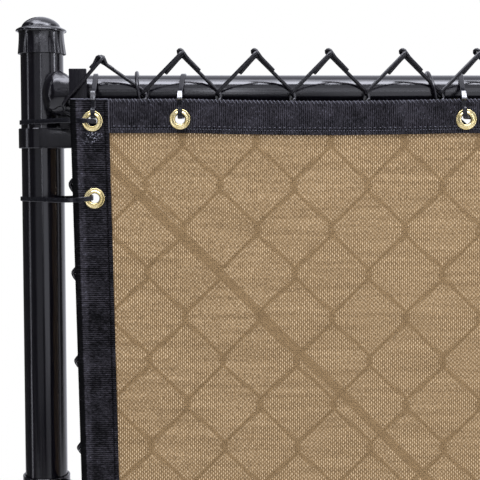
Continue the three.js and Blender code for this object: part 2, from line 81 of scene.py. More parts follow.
class Shape:
    def __init__(self):
        self.points = []
        self.faces = []

    def add(self, points, faces):
        first = len(self.points)
        self.points.extend(tuple(p) for p in points)
        self.faces.extend([first + i for i in face] for face in faces)

    # a skin over rings of equal size, open ends closed with a flat face
    def skin(self, rings, loop=False):
        sides, count = len(rings[0]), len(rings)
        faces = []
        for i in range(count if loop else count - 1):
            here, after = i * sides, (i + 1) % count * sides
            for k in range(sides):
                n = (k + 1) % sides
                faces.append([here + k, here + n, after + n, after + k])
        if not loop:
            faces.append(list(range(sides)))
            faces.append([(count - 1) * sides + k for k in range(sides)])
        self.add([p for ring in rings for p in ring], faces)

    # profile is pairs of radius and height; put turns side, side and height into a point
    def lathe(self, profile, put, sides, loop=False, flute=None):
        rings = []
        for radius, height in profile:
            ring = []
            for k in range(sides):
                turn = 2 * math.pi * k / sides
                r = max(radius, edges["tip"])
                if flute:
                    r += flute(turn, height)
                ring.append(put(r * math.cos(turn), r * math.sin(turn), height))
            rings.append(ring)
        self.skin(rings, loop)

    # a round bar along a path, its cut ends slightly broken
    def tube(self, path, radius, sides):
        path = [Vector(p) for p in path]
        last = len(path) - 1
        alongs = [(path[min(i + 1, last)] - path[max(i - 1, 0)]).normalized() for i in range(last + 1)]
        start, end, first, final = path[0], path[-1], alongs[0], alongs[-1]
        broken = edges["broken"] * radius
        spots = [(start, first, radius - broken), (start + first * broken, first, radius)]
        spots += [(p, along, radius) for p, along in zip(path[1:-1], alongs[1:-1])]
        spots += [(end - final * broken, final, radius), (end, final, radius - broken)]
        side = first.orthogonal().normalized()
        turns = [2 * math.pi * k / sides for k in range(sides)]
        rings = []
        for spot, along, wide in spots:
            side = (side - along * side.dot(along)).normalized()
            up = along.cross(side)
            rings.append([spot + (side * math.cos(t) + up * math.sin(t)) * wide for t in turns])
        self.skin(rings)

    # a flat strap along a closed path in a plane; widthways is the direction of its width
    def strap(self, path, widthways, width, thick):
        path = [Vector(p) for p in path]
        widthways = Vector(widthways)
        outline = cutCorners(-width / 2, width / 2, -thick / 2, thick / 2, edges["broken"] * thick)
        rings = []
        for i, spot in enumerate(path):
            along = (path[(i + 1) % len(path)] - path[i - 1]).normalized()
            out = along.cross(widthways).normalized()
            rings.append([spot + widthways * across + out * off for across, off in outline])
        self.skin(rings, loop=True)

    # a box with rounded edges, turned by a matrix, then each point changed by a function
    def block(self, low, high, rounding, steps=2, turn=None, change=None):
        low, high = Vector(low), Vector(high)
        built = bmesh.new()
        bmesh.ops.create_cube(built, size=1)
        for vert in built.verts:
            vert.co = Vector(mix(a, b, c + 0.5) for a, b, c in zip(low, high, vert.co))
        bmesh.ops.bevel(
            built, geom=built.edges[:], offset=rounding, segments=steps, profile=0.5, affect="EDGES")
        built.verts.index_update()
        points = [turn @ v.co if turn else v.co.copy() for v in built.verts]
        faces = [[v.index for v in face.verts] for face in built.faces]
        built.free()
        self.add([change(p) if change else p for p in points], faces)

    def mirroredAbout(self, x):
        self.points = [(2 * x - px, py, pz) for px, py, pz in self.points]
        return self


# a soft curve through some points
def curved(points, steps=4):
    points = [Vector(p) for p in points]
    line = [points[0]]
    for i in range(len(points) - 1):
        a, b = points[max(i - 1, 0)], points[i]
        c, d = points[i + 1], points[min(i + 2, len(points) - 1)]
        for k in range(1, steps + 1):
            t = k / steps
            bend = (2 * a - 5 * b + 4 * c - d) * t * t + (3 * b - a - 3 * c + d) * t ** 3
            line.append(0.5 * (2 * b + (c - a) * t + bend))
    return line


# cuts the corners of a closed outline, a quarter of the way along, until they are round
def eased(stops, rounds=3):
    for _ in range(rounds):
        cut = []
        for i, here in enumerate(stops):
            after = stops[(i + 1) % len(stops)]
            for share in (0.25, 0.75):
                cut.append(tuple(mix(a, b, share) for a, b in zip(here, after)))
        stops = cut
    return stops


# a mesh with all its faces turned outwards
def meshOf(name, shape):
    mesh = bpy.data.meshes.new(name)
    mesh.from_pydata([atFence(p) for p in shape.points], [], shape.faces)
    built = bmesh.new()
    built.from_mesh(mesh)
    bmesh.ops.recalc_face_normals(built, faces=built.faces)
    built.to_mesh(mesh)
    built.free()
    return mesh


# puts a mesh, a light or a camera into the scene
def addObject(name, data):
    made = bpy.data.objects.new(name, data)
    bpy.context.scene.collection.objects.link(made)
    return made


# nodes are the CAD nodes it stands for; sharp is the angle in degrees from which an edge shows
def makePiece(name, shape, look, nodes=(), sharp=35):
    mesh = meshOf(name, shape)
    mesh.shade_smooth()
    mesh.set_sharp_from_angle(angle=math.radians(sharp))
    mesh.materials.append(look)
    piece = addObject(name, mesh)
    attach(piece, "root")
    if nodes:
        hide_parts(*nodes)
    return piece


# cuts round holes through a piece, from front to back
def punch(piece, spots, radius, depth=14):
    drill = Shape()
    for x, y, z in spots:
        drill.lathe([(radius, -depth), (radius, depth)], lambda a, b, h: (x + a, y + h, z + b), 32)
    cutter = addObject("drill", meshOf("drill", drill))
    cut = piece.modifiers.new("holes", "BOOLEAN")
    cut.operation = "DIFFERENCE"
    cut.solver = "MANIFOLD"
    cut.object = cutter
    ready = piece.evaluated_get(bpy.context.evaluated_depsgraph_get())
    piece.data = bpy.data.meshes.new_from_object(ready)
    piece.modifiers.clear()
    bpy.data.objects.remove(cutter)


# a socket of a material; sums on it become Math nodes
class Value:
    def __init__(self, tree, source):
        self.tree = tree
        self.source = source

    def math(self, operation, first, second):
        return addNode(self.tree, "Math", {"operation": operation}, {0: first, 1: second})

    def __add__(self, other):
        return self.math("ADD", self, other)

    __radd__ = __add__

    def __sub__(self, other):
        return self.math("SUBTRACT", self, other)

    def __rsub__(self, other):
        return self.math("SUBTRACT", other, self)

    def __mul__(self, other):
        return self.math("MULTIPLY", self, other)

    __rmul__ = __mul__


# adds a node: its settings first, then the values or links of its sockets
def addNode(tree, kind, settings=None, inputs=None, output=0):
    node = tree.nodes.new("ShaderNode" + kind)
    for key, value in (settings or {}).items():
        setattr(node, key, value)
    for key, value in (inputs or {}).items():
        if isinstance(value, Value):
            tree.links.new(value.source, node.inputs[key])
        else:
            node.inputs[key].default_value = value
    return Value(tree, node.outputs[output]) if len(node.outputs) else None


# a colour as it shows on a screen, 0 to 255
def colour(red, green, blue):
    def linear(c):
        c /= 255
        return c / 12.92 if c <= 0.04045 else ((c + 0.055) / 1.055) ** 2.4
    return linear(red), linear(green), linear(blue), 1.0


def newTree(name):
    look = bpy.data.materials.new(name)
    look.use_nodes = True
    look.node_tree.nodes.clear()
    return look, look.node_tree


# sockets 6 and 7 of a Mix node are its two colours
def mixColour(tree, share, first, second):
    return addNode(tree, "Mix", {"data_type": "RGBA"}, {0: share, 6: first, 7: second}, output=2)


def place(tree):
    return addNode(tree, "TexCoord", output="Object")


def split(tree, vector):
    parts = addNode(tree, "SeparateXYZ", None, {0: vector})
    node = parts.source.node
    return [Value(tree, node.outputs[i]) for i in range(3)]


def scaled(tree, vector, sizes):
    return addNode(tree, "VectorMath", {"operation": "MULTIPLY"}, {0: vector, 1: sizes})


# scale is in lumps to a metre
def cloud(tree, vector, scale, detail=2.0, rough=0.5):
    inputs = {"Vector": vector, "Scale": scale, "Detail": detail, "Roughness": rough}
    return addNode(tree, "TexNoise", None, inputs)


# 0 up to low, rising to 1 at high
def between(tree, value, low, high):
    return addNode(tree, "MapRange", None, {"Value": value, "From Min": low, "From Max": high})


# pitch in mm
def wave(tree, value, pitch):
    return addNode(tree, "Math", {"operation": "COSINE"}, {0: value * (2 * math.pi / (pitch * mm))})


# depth in mm
def bumped(tree, height, depth, before=None):
    inputs = {"Height": height, "Distance": depth * mm, "Strength": 1.0}
    if before:
        inputs["Normal"] = before
    return addNode(tree, "Bump", None, inputs)


def finished(tree, inputs):
    surface = addNode(tree, "BsdfPrincipled", None, inputs)
    addNode(tree, "OutputMaterial", None, {"Surface": surface})


# black coating on steel, drawn out in faint streaks along one direction
coating = {
    "colour": colour(8, 7, 12),
    "dusty": colour(30, 27, 30),
    "dustShows": (0.5, 0.72),
    "smooth": 0.08,
    "rough": 0.26,
    "shine": 0.6,
    "streaks": 420.0,  # to a metre, and drawn out to this share along it
    "drawn": 0.012,
    "streakDepth": 0.06,  # mm
    "grain": 260.0,
    "grainDepth": 0.02,
    "patches": 34.0,
}


# along is the axis that the streaks follow; lumps adds to the grain's depth
def coatedSteel(name, along=None, dust=0.35, extraRough=0.0, lumps=0.0, shine=coating["shine"]):
    look, tree = newTree(name)
    spot = place(tree)
    stretch = [1.0, 1.0, 1.0]
    if along is not None:
        stretch[along] = coating["drawn"]
    streaks = cloud(tree, scaled(tree, spot, stretch), coating["streaks"], 3.0, 0.55)
    grain = cloud(tree, spot, coating["grain"])
    patches = cloud(tree, spot, coating["patches"], 4.0, 0.6)
    dusty = between(tree, patches * 0.6 + streaks * 0.4, *coating["dustShows"]) * dust
    dull = between(tree, streaks, 0.3, 0.8) * (coating["rough"] - coating["smooth"])
    normal = bumped(tree, streaks, coating["streakDepth"])
    finished(tree, {
        "Base Color": mixColour(tree, dusty, coating["colour"], coating["dusty"]),
        "Roughness": dull + (coating["smooth"] + extraRough),
        "Normal": bumped(tree, grain, coating["grainDepth"] + lumps, normal),
        "Specular IOR Level": shine,
    })
    return look


# black woven webbing: ribs are in the mesh; here its colour follows the relief of ribs, twill and dashes, the
# raised yarns painted lighter as a painted sheen and the low ones near black as painted shade, with its worn
# specks drawn over it
webbing = {
    # dark and light are the painted shade and the painted sheen of the relief
    "dark": colour(3, 3, 4),
    "light": colour(60, 58, 63),
    "speck": colour(100, 100, 110),
    # painted glints, a highlight colour
    "paintedGlint": colour(196, 198, 206),
    # paler than the webbing, partly a painted highlight where folded and cut edges catch the light
    "thread": colour(90, 90, 96),
    "rib": 1.92,  # mm from rib to rib
    "twill": 0.96,
    "wear": 48.0,  # to a metre, and so are the next three
    "patches": 26.0,
    "dashes": 760.0,
    "fuzz": 1300.0,
    "dashStretch": 0.45,
    "relief": (0.55, 0.2, 0.9),  # shares of ribs, twill and dashes
    "speckled": (0.7, 0.6, 0.4),  # shares of fuzz, dashes and wear
    "paintedSheenShows": (0.97, 1.5),
    "specksShow": (1.0, 1.14),
    "paintedGlintsShow": (1.07, 1.13),
    "fold": (4.6, 6.0),  # mm from the fold: painted shade up to here, then a painted paler band, where the face would turn to the light
    "band": (10.0, 12.5),
    "rub": (4.0, 13.0),  # mm from the middle of a worn patch with painted glints: worn and glinting most up to here, and not at all from here
    "rubbedAt": (-1.0, 15.0),  # mm to the right of a grommet and below it
    "rough": 0.45,
    "shine": 0.06,
}


# along is the axis it runs along; edge gives how far a point lies from its fold, in metres; rubbed is the
# middle of a worn patch with painted glints
def wovenWebbing(name, along, yarnColour=webbing["light"], wearAndPaintedShading=0.0, edge=None, rubbed=None):
    look, tree = newTree(name)
    spot = place(tree)
    x, _, z = split(tree, spot)
    run, over = (x, z) if along == 0 else (z, x)
    stretch = (1.0, 1.0, webbing["dashStretch"]) if along == 0 else (webbing["dashStretch"], 1.0, 1.0)
    wear = cloud(tree, spot, webbing["wear"], 4.0, 0.65)
    patches = cloud(tree, spot, webbing["patches"])
    dashes = cloud(tree, scaled(tree, spot, stretch), webbing["dashes"], 2.0, 0.6)
    fuzz = cloud(tree, spot, webbing["fuzz"], 1.0)
    rib = wave(tree, run, webbing["rib"]) * 0.5 + 0.5
    twill = wave(tree, over + run * 0.5, webbing["twill"]) * 0.5 + 0.5
    ribShare, twillShare, dashShare = webbing["relief"]
    height = rib * patches * ribShare + twill * twillShare + dashes * dashShare
    wearAndPaintedShading = wear * 0.75 + wearAndPaintedShading
    # painted shading by the fold: painted shade along the fold, then a painted light band a little in from it
    if edge:
        fromFold = edge(x, z)
        low, high = (mm * d for d in webbing["fold"])
        start, stop = (mm * d for d in webbing["band"])
        offFold = between(tree, fromFold, low, high)
        pale = offFold * (1 - between(tree, fromFold, start, stop))
        wearAndPaintedShading = wearAndPaintedShading + pale * 0.22 - (1 - offFold) * 0.3
    # painted sheen: the raised yarns are painted lighter, the low ones darker
    lit = between(tree, height + wearAndPaintedShading, *webbing["paintedSheenShows"])
    fuzzShare, dashShare, wearShare = webbing["speckled"]
    spots = fuzz * fuzzShare + dashes * dashShare + wearAndPaintedShading * wearShare
    if rubbed:
        apart = addNode(tree, "VectorMath", {"operation": "DISTANCE"}, {0: spot, 1: rubbed}, output=1)
        near, far = (mm * d for d in webbing["rub"])
        rubbedAndGlinting = 1 - between(tree, apart, near, far)
        spots = spots + rubbedAndGlinting * 0.16
    specks = between(tree, spots, *webbing["specksShow"])
    base = mixColour(tree, lit, webbing["dark"], yarnColour)
    base = mixColour(tree, specks, base, webbing["speck"])
    # painted glints in the rubbed patch
    if rubbed:
        paintedGlints = rubbedAndGlinting * between(tree, spots, *webbing["paintedGlintsShow"])
        base = mixColour(tree, paintedGlints, base, webbing["paintedGlint"])
    finished(tree, {
        "Base Color": base,
        "Roughness": webbing["rough"],
        "Normal": bumped(tree, height, 0.4),
        "Specular IOR Level": webbing["shine"],
    })
    return look


# tan knitted mesh: upright loops with narrow holes in them, staggered from column to column
knit = {
    "across": 3.69,  # mm between loops of one row
    "down": 3.76,
    "wander": 1.4,  # mm that a row or column strays, and a single loop
    "stray": 0.9,
    "stagger": 0.4,
    "hole": (0.45, 0.95),  # where a hole starts and where it is clear
    "open": 0.85,
    "drift": 30.0,  # to a metre, and so are the next two
    "fine": 520.0,
    "rows": 210.0,
    "rowStretch": 0.06,
    "uneven": 0.8,
    "rowsUneven": 0.45,
    "relief": 0.4,  # mm
    "yarn": colour(173, 143, 100),
    # painted shade of the gaps between loops and painted highlight of the loops
    "paintedShade": colour(84, 64, 38),
    "paintedHighlight": colour(204, 174, 128),
    "glow": colour(190, 160, 120),
    "letsThrough": 0.12,
    "veil": (1.0, 0.81, 0.59, 1.0),
    "rough": 0.7,
    "shine": 0.2,
}


def knittedMesh(name):
    look, tree = newTree(name)
    spot = place(tree)
    x, _, z = split(tree, spot)
    fine = cloud(tree, spot, knit["fine"], 1.0)
    rows = cloud(tree, scaled(tree, spot, (knit["rowStretch"], 1.0, 1.0)), knit["rows"], 1.0)
    wander = cloud(tree, spot, knit["drift"]) * (knit["wander"] * mm)
    acrossWave = wave(tree, x + wander + fine * (knit["stray"] * mm), knit["across"])
    downWave = wave(tree, z + wander, knit["down"])
    column = acrossWave * acrossWave
    loop = column * column * (acrossWave * downWave * knit["stagger"] + (1 - knit["stagger"]))
    varied = loop + (fine - 0.5) * knit["uneven"] + (rows - 0.5) * knit["rowsUneven"]
    hole = between(tree, varied, *knit["hole"]) * knit["open"]
    # painted shade in the gaps between the loops and a painted highlight on the loops round the holes
    base = mixColour(tree, between(tree, varied + 0.25, -0.1, 1.0), knit["paintedShade"], knit["yarn"])
    base = mixColour(tree, between(tree, varied, 0.45, 1.0) * 0.6, base, knit["paintedHighlight"])
    front = addNode(tree, "BsdfPrincipled", None, {
        "Base Color": base,
        "Roughness": knit["rough"],
        "Normal": bumped(tree, loop * 0.7 + fine * 0.8, knit["relief"]),
        "Specular IOR Level": knit["shine"],
    })
    through = addNode(tree, "BsdfTranslucent", None, {"Color": knit["glow"]})
    yarn = addNode(tree, "MixShader", None, {0: knit["letsThrough"], 1: front, 2: through})
    gap = addNode(tree, "BsdfTransparent", None, {"Color": knit["veil"]})
    both = addNode(tree, "MixShader", None, {0: hole, 1: yarn, 2: gap})
    addNode(tree, "OutputMaterial", None, {"Surface": both})
    return look


brass = {
    "colour": colour(226, 210, 158),
    "tarnish": colour(196, 176, 116),
    "tarnishShows": (0.42, 0.68),
    "patches": 160.0,  # to a metre
    "scratches": 1500.0,
    "scratchDepth": 0.0015,  # mm
    "metal": 0.9,
    "rough": 0.19,
    "scratchedRough": 0.06,
}


def rolledBrass(name):
    look, tree = newTree(name)
    spot = place(tree)
    tarnished = between(tree, cloud(tree, spot, brass["patches"], 1.0), *brass["tarnishShows"])
    scratches = cloud(tree, spot, brass["scratches"], 3.0)
    finished(tree, {
        "Base Color": mixColour(tree, tarnished, brass["colour"], brass["tarnish"]),
        "Roughness": scratches * brass["scratchedRough"] + brass["rough"],
        "Metallic": brass["metal"],
        "Normal": bumped(tree, scratches, brass["scratchDepth"]),
    })
    return look


nylon = {
    "colour": colour(16, 16, 20),
    "pale": colour(40, 40, 44),
    "grain": 700.0,  # to a metre
    "grainDepth": 0.03,  # mm
    "rough": 0.1,
    "grainRough": 0.2,
}


# glass is its index of refraction
def mouldedNylon(name, shine, glass=1.5):
    look, tree = newTree(name)
    grain = cloud(tree, place(tree), nylon["grain"], 3.0)
    finished(tree, {
        "Base Color": mixColour(tree, between(tree, grain, 0.5, 0.8), nylon["colour"], nylon["pale"]),
        "Roughness": grain * nylon["grainRough"] + nylon["rough"],
        "Normal": bumped(tree, grain, nylon["grainDepth"]),
        "Specular IOR Level": shine,
        "IOR": glass,
    })
    return look


uprightSteel = coatedSteel("coated steel upright", 2)
levelSteel = coatedSteel("coated steel level", 0)
castSteel = coatedSteel("coated cap", dust=0.15, extraRough=0.01, lumps=0.015)
cupSteel = coatedSteel("coated cup", dust=0.15, extraRough=0.03, lumps=0.09, shine=0.44)
wireSteel = coatedSteel("coated wire", 2, dust=0.2, extraRough=0.06, shine=0.36)
flatSteel = coatedSteel("coated flat bar", 2, dust=0.25, extraRough=0.14, lumps=0.04, shine=0.15)
bandSteel = coatedSteel("coated band", 2, dust=0.7, extraRough=0.02, lumps=0.015, shine=0.62)
endWebbing = wovenWebbing("webbing end", 0, wearAndPaintedShading=0.12)
clothLook = knittedMesh("knitted mesh")
brassLook = rolledBrass("rolled brass")
# pale thread for edge loops, fused beads, edge lines and stitches: partly a painted highlight along the edges
paleThreadWithPaintedHighlight = wovenWebbing("thread", 0, webbing["thread"], 0.5)
darkThread = wovenWebbing("dark thread", 0, webbing["dark"])
nylonLook = mouldedNylon("moulded nylon", 0.3)
headLook = mouldedNylon("polished nylon", 1.0, 1.7)
print("materials made")


# posts, caps and top rail, in mm like all that follows

post = {"spacing": 799.4, "radius": 20.65, "top": 1030.6, "broken": 0.6, "sides": 96}
cap = {
    "top": 1046.3, "domeBase": 1037.0, "domeRadius": 18.5, "roundness": 1.4,
    "rim": [  # radius and height, from the dome's foot out over the rim and in under it
        (18.7, 1036.6), (18.9, 1036.1), (19.5, 1036.0), (20.1, 1035.7), (21.6, 1035.0), (23.3, 1034.1),
        (24.2, 1033.4), (24.5, 1032.6), (24.4, 1031.9), (23.9, 1031.7), (23.1, 1032.0), (22.3, 1031.9),
        (21.8, 1031.0),
    ],
    "skirt": (21.7, 1029.0), "flare": 1.5, "drop": 18.4,
    "hem": [(23.25, 1010.2), (22.9, 1010.0), (22.3, 1010.4), (21.0, 1012.0), (21.0, 1029.5)],
    "flutes": 22, "fluteDepth": 0.2, "fluteUneven": 0.6,
    "fluteTop": 1030.0, "fluteFade": 14.0,
    "lean": math.radians(1.6), "leanFrom": 1016.0,
    "sides": 144,
}
rail = {"height": 970.0, "y": -31.0, "radius": 17.45, "end": 21.4, "joint": 400.0}
cup = {
    "start": 5.8, "dome": 16.0, "radius": 21.3, "roundness": 1.9, "raised": 0.6,
    "mouth": 44.0,
    "cutBack": 23.0,  # of the mouth at the top
    "lip": [  # how far out, and past the mouth
        (0.5, 0.5), (0.55, 1.1), (0.1, 1.6), (-1.6, 1.5), (-1.9, 0.8), (-2.0, -3.0),
    ],
    "dent": 0.4,
    "lugLow": (21.0, -27.5, 937.4), "lugHigh": (33.5, -24.5, 955.0),
    "sides": 72, "steps": 22,
}
ends = {"left": (0.0, 1), "right": (post["spacing"], -1)}  # a post's x, and the way to the other post
middleX = post["spacing"] / 2


def upright(x):
    return lambda a, b, h: (x + a, b, h)


def levelAt(y, z):
    return lambda a, b, h: (h, y + a, z + b)


def postShape(x):
    shape = Shape()
    r, top, cut = post["radius"], post["top"], post["broken"]
    profile = [(r - cut, 0), (r, cut), (r, top / 2), (r, top - cut), (r - cut, top)]
    shape.lathe(profile, upright(x), post["sides"])
    return shape


def capFlute(turn, height):
    pinch = math.cos(cap["flutes"] * turn + cap["fluteUneven"] * math.sin(3 * turn))
    return cap["fluteDepth"] * limited((cap["fluteTop"] - height) / cap["fluteFade"]) * pinch


def capShape(x):
    shape = Shape()
    rise = cap["top"] - cap["domeBase"]
    profile = []
    for i in range(17):
        turn = i / 16 * math.pi / 2
        height = cap["domeBase"] + rise * math.cos(turn) ** cap["roundness"]
        profile.append((cap["domeRadius"] * math.sin(turn), height))
    profile += cap["rim"]
    radius, top = cap["skirt"]
    for i in range(11):
        profile.append((radius + cap["flare"] * (i / 10) ** 1.5, top - cap["drop"] * i / 10))
    profile += cap["hem"]
    lean = math.tan(cap["lean"])
    shape.lathe(
        profile, lambda a, b, h: (x + a - lean * (h - cap["leanFrom"]), b, h), cap["sides"], flute=capFlute)
    return shape


for side, (x, _) in ends.items():
    makePiece(f"{side}Post", postShape(x), uprightSteel, [f"post_{side}"])
    makePiece(f"{side}Cap", capShape(x), castSteel, [f"cap_{side}"])

railShape = Shape()
railStops = (rail["end"], rail["joint"], post["spacing"] - rail["end"])
railShape.lathe([(rail["radius"], x) for x in railStops], levelAt(rail["y"], rail["height"]), post["sides"])
makePiece("topRail", railShape, levelSteel, ["top_rail"])


# one ring of the cup, share of the way from its dome to its mouth
def cupRing(share, grow=0.0, past=0.0):
    ring = []
    for k in range(cup["sides"]):
        turn = 2 * math.pi * k / cup["sides"]
        mouth = cup["mouth"] - cup["cutBack"] * max(0.0, math.sin(turn)) ** 1.5
        x = mix(cup["start"], mouth, share) + past
        reach = limited((cup["start"] + cup["dome"] - x) / cup["dome"])
        r = cup["radius"] * (1 - reach ** cup["roundness"]) ** (1 / cup["roundness"]) + grow
        r += cup["dent"] * noise.noise((x * 0.16, math.cos(turn) * 3, math.sin(turn) * 3))
        r = max(r, 0.05)
        height = rail["height"] + cup["raised"]
        ring.append((x, rail["y"] + r * math.cos(turn), height + r * math.sin(turn)))
    return ring


# the cup over the rail's end: a flattened dome, its mouth cut back at the top, with a small lug below
def cupShape():
    shape = Shape()
    rings = [cupRing((i / cup["steps"]) ** 1.7) for i in range(cup["steps"] + 1)]
    shape.skin(rings + [cupRing(1, grow, past) for grow, past in cup["lip"]])
    shape.block(cup["lugLow"], cup["lugHigh"], 0.6)
    return shape


makePiece("leftRailEnd", cupShape(), cupSteel, ["rail_end_left"])
makePiece("rightRailEnd", cupShape().mirroredAbout(middleX), cupSteel, ["rail_end_right"])
print("posts and rail made")


# tension bars, bands, rod and tension wire

bar = {
    "left": 34.9, "width": 16.2, "back": -52.75, "thick": 4.5, "top": 991.7, "foot": 40.0,
    "lean": {"left": math.radians(1.37), "right": math.radians(0.75)}, "leanFrom": 971.0,
}
rod = {"radius": 4.6, "y": -16.0, "end": 40.0, "top": 929.2, "slope": 0.989}
tensionWire = {
    "radius": 2.25, "y": -46.2, "z": 44.0,
    "end": [(9.0, -25.9), (21.0, -36.3), (32.0, -44.8), (38.0, -46.2)],  # x and y from its tip at the post
}
band = {
    "height": 19.2, "thick": 2.2, "inside": 0.3, "seat": 0.35,  # mm off the post
    "reach": 56.0, "earGap": 10.0, "backEar": 19.5, "bolt": 40.0,
    "barEarGap": 4.6, "pastBar": 2.0, "boltFromBar": 17.0,
}
bolt = {
    "radius": 3.2,
    "head": [(0, -3.2), (2.6, -3.0), (5.0, -2.0), (6.4, -0.4), (6.3, 0)],  # radius, and height from the front
    "tip": [(3.2, 6.0), (2.5, 6.6), (0, 6.6)],  # and here from the back
    "nut": [(3.3, 0.1), (5.6, 0.1), (6.3, 0.6), (6.3, 3.9), (5.6, 4.4), (3.3, 4.4)],
}
barMiddle = bar["left"] + bar["width"] / 2


def leaned(z, lean, start=bar["leanFrom"]):
    return math.tan(lean) * (start - z)


for side, (x, inward) in ends.items():
    shape = Shape()
    middle, lean = x + inward * barMiddle, bar["lean"][side]
    shape.block(
        (middle - bar["width"] / 2, bar["back"] - bar["thick"], bar["foot"]),
        (middle + bar["width"] / 2, bar["back"], bar["top"]),
        0.7, 3, change=lambda p: (p.x + leaned(p.z, lean), p.y, p.z))
    makePiece(f"{side}TensionBar", shape, flatSteel, [f"tension_bar_{side}"])

rodTop = Vector((rod["end"], rod["y"], rod["top"]))
rodRun = post["spacing"] - 2 * rod["end"]
rodFoot = rodTop + Vector((rodRun, 0, -rod["slope"] * rodRun))
shape = Shape()
shape.tube([rodTop.lerp(rodFoot, i / 12) for i in range(13)], rod["radius"], 24)
makePiece("braceRod", shape, levelSteel, ["truss_rod"])

shape = Shape()
wireEnd = curved([(x, y, tensionWire["z"]) for x, y in tensionWire["end"]])
farEnd = [(2 * middleX - p.x, p.y, p.z) for p in reversed(wireEnd)]
shape.tube(wireEnd + [(middleX, tensionWire["y"], tensionWire["z"])] + farEnd, tensionWire["radius"], 14)
makePiece("tensionWire", shape, levelSteel, ["tension_wire"])


def bandRing(shape):
    inner = post["radius"] + band["inside"]
    outer = post["radius"] + band["seat"] + band["thick"]
    h = band["height"] / 2
    shape.lathe(cutCorners(inner, outer, -h, h, 0.5), upright(0), 72, loop=True)


# a bolt along y: a domed head at the front and a nut at the back
def addBolt(shape, front, back, x, turn):
    def put(a, b, h):
        return turn @ Vector((x + a, h, b))
    profile = [(r, front + h) for r, h in bolt["head"]] + [(bolt["radius"], front)]
    shape.lathe(profile + [(r, back + h) for r, h in bolt["tip"]], put, 24)
    shape.lathe([(r, back + h) for r, h in bolt["nut"]], put, 6, loop=True)


def braceBand():
    shape = Shape()
    bandRing(shape)
    h, thick = band["height"] / 2, band["thick"]
    front = -(post["radius"] + band["seat"] + thick)
    back = front + thick + band["earGap"]
    for start, face in ((0, front), (band["backEar"], back)):
        shape.block((start, face, -h), (band["reach"], face + thick, h), 0.5)
    addBolt(shape, front, back + thick, band["bolt"], Matrix())
    return shape


def tensionBand(fromPost):
    shape = Shape()
    bandRing(shape)
    h, gap, thick = band["height"] / 2, band["barEarGap"], band["thick"]
    toBar = Vector((fromPost, bar["back"] + band["seat"], 0))
    turn = Matrix.Rotation(math.atan2(toBar.y, toBar.x), 3, "Z")
    start = post["radius"] + band["seat"] + thick / 2
    end = toBar.length + band["pastBar"]

    def keptBehind(p):  # the ears end flat against the bar
        return (p.x, max(p.y, toBar.y), p.z)
    for face in (-thick - gap / 2, gap / 2):
        shape.block((start, face, -h), (end, face + thick, h), 0.5, turn=turn, change=keptBehind)
    addBolt(shape, -gap / 2 - thick, gap / 2 + thick, toBar.length - band["boltFromBar"], turn)
    return shape


bandRows = {
    "left": [("brace", 928.5), ("tension", 585.7), ("tension", 330.0), ("tension", 110.0)],
    "right": [("tension", 929.7), ("tension", 585.7), ("brace", rodFoot.z), ("tension", 110.0)],
}
for side, rows in bandRows.items():
    inward = ends[side][1]
    for i, (kind, z) in enumerate(rows):
        fromPost = barMiddle + inward * leaned(z, bar["lean"][side])
        shape = braceBand() if kind == "brace" else tensionBand(fromPost)
        if side == "right":
            shape.mirroredAbout(middleX)
        shape.points = [(px, py, pz + z) for px, py, pz in shape.points]
        makePiece(f"{side}{kind.title()}Band{i + 1}", shape, bandSteel, [f"band_{side}_{i + 1}"])
print("bars and bands made")


# the woven netting

netting = {
    "columns": 22, "rows": 25,
    "first": 35.6, "step": 34.35, "wideFrom": 12, "wideStep": 35.19,
    "topRow": 1005.0, "firstRow": 966.0, "rowStep": 41.0,
    "firstPeak": (64.0, 998.8), "firstTurn": (31.4, 956.5),
    "secondUp": 4.0,
    "lean": math.radians(0.8),
    "wire": 1.8,
    "turnsGrow": 0.0022, "turnsDrop": 0.01,  # for each millimetre down the left bar
    "rightOut": 0.4,
    "front": -59.6, "back": -50.6,
    "forward": 4.6,  # towards the screen, away from the bars, rail and tension wire
    "fadeSides": (62, 88), "fadeFoot": (92, 120), "fadeTop": (918, 942),
    "bend": 5.2, "bendOut": 1.75,
}


def columnX(column):
    even = min(column, netting["wideFrom"])
    return netting["first"] + even * netting["step"] + (column - even) * netting["wideStep"]


def knotAt(column, row):
    if (column, row) == (1, 0):
        return netting["firstPeak"]
    if (column, row) == (0, 1):
        return netting["firstTurn"]
    z = netting["topRow"] if row == 0 else netting["firstRow"] - (row - 1) * netting["rowStep"]
    if (column, row) == (1, 2):
        z += netting["secondUp"]
    if column == 0:
        down = netting["firstTurn"][1] - z
        x = bar["left"] - netting["turnsGrow"] * down + leaned(z, bar["lean"]["left"])
        return x, z - netting["turnsDrop"] * down
    if column == netting["columns"] - 1:
        return post["spacing"] - bar["left"] + netting["rightOut"] + leaned(z, bar["lean"]["right"]), z
    return columnX(column) + leaned(z, netting["lean"]), z


def eases(value, start, end):
    t = limited((value - start) / (end - start))
    return t * t * (3 - 2 * t)


def forwardAt(x, z):
    sides = eases(x, *netting["fadeSides"]) * eases(post["spacing"] - x, *netting["fadeSides"])
    return netting["forward"] * sides * eases(z, *netting["fadeFoot"]) * (1 - eases(z, *netting["fadeTop"]))


# one wire's bend, where it changes from the back of the netting to the front or the other way
def bendPoints(x, z, side):
    front, back = netting["front"], netting["back"]
    above, below = (back, front) if side > 0 else (front, back)
    middle, bend, out = (front + back) / 2, netting["bend"], netting["bendOut"]
    steps = [
        (bend, -0.6, above, 1.0), (bend * 0.5, out * 0.75, above, 0.93), (0, out, middle, 1.0),
        (-bend * 0.5, out * 0.75, below, 0.93), (-bend, -0.6, below, 1.0),
    ]
    return [Vector((x + side * across, mix(middle, y, share), z + up)) for up, across, y, share in steps]


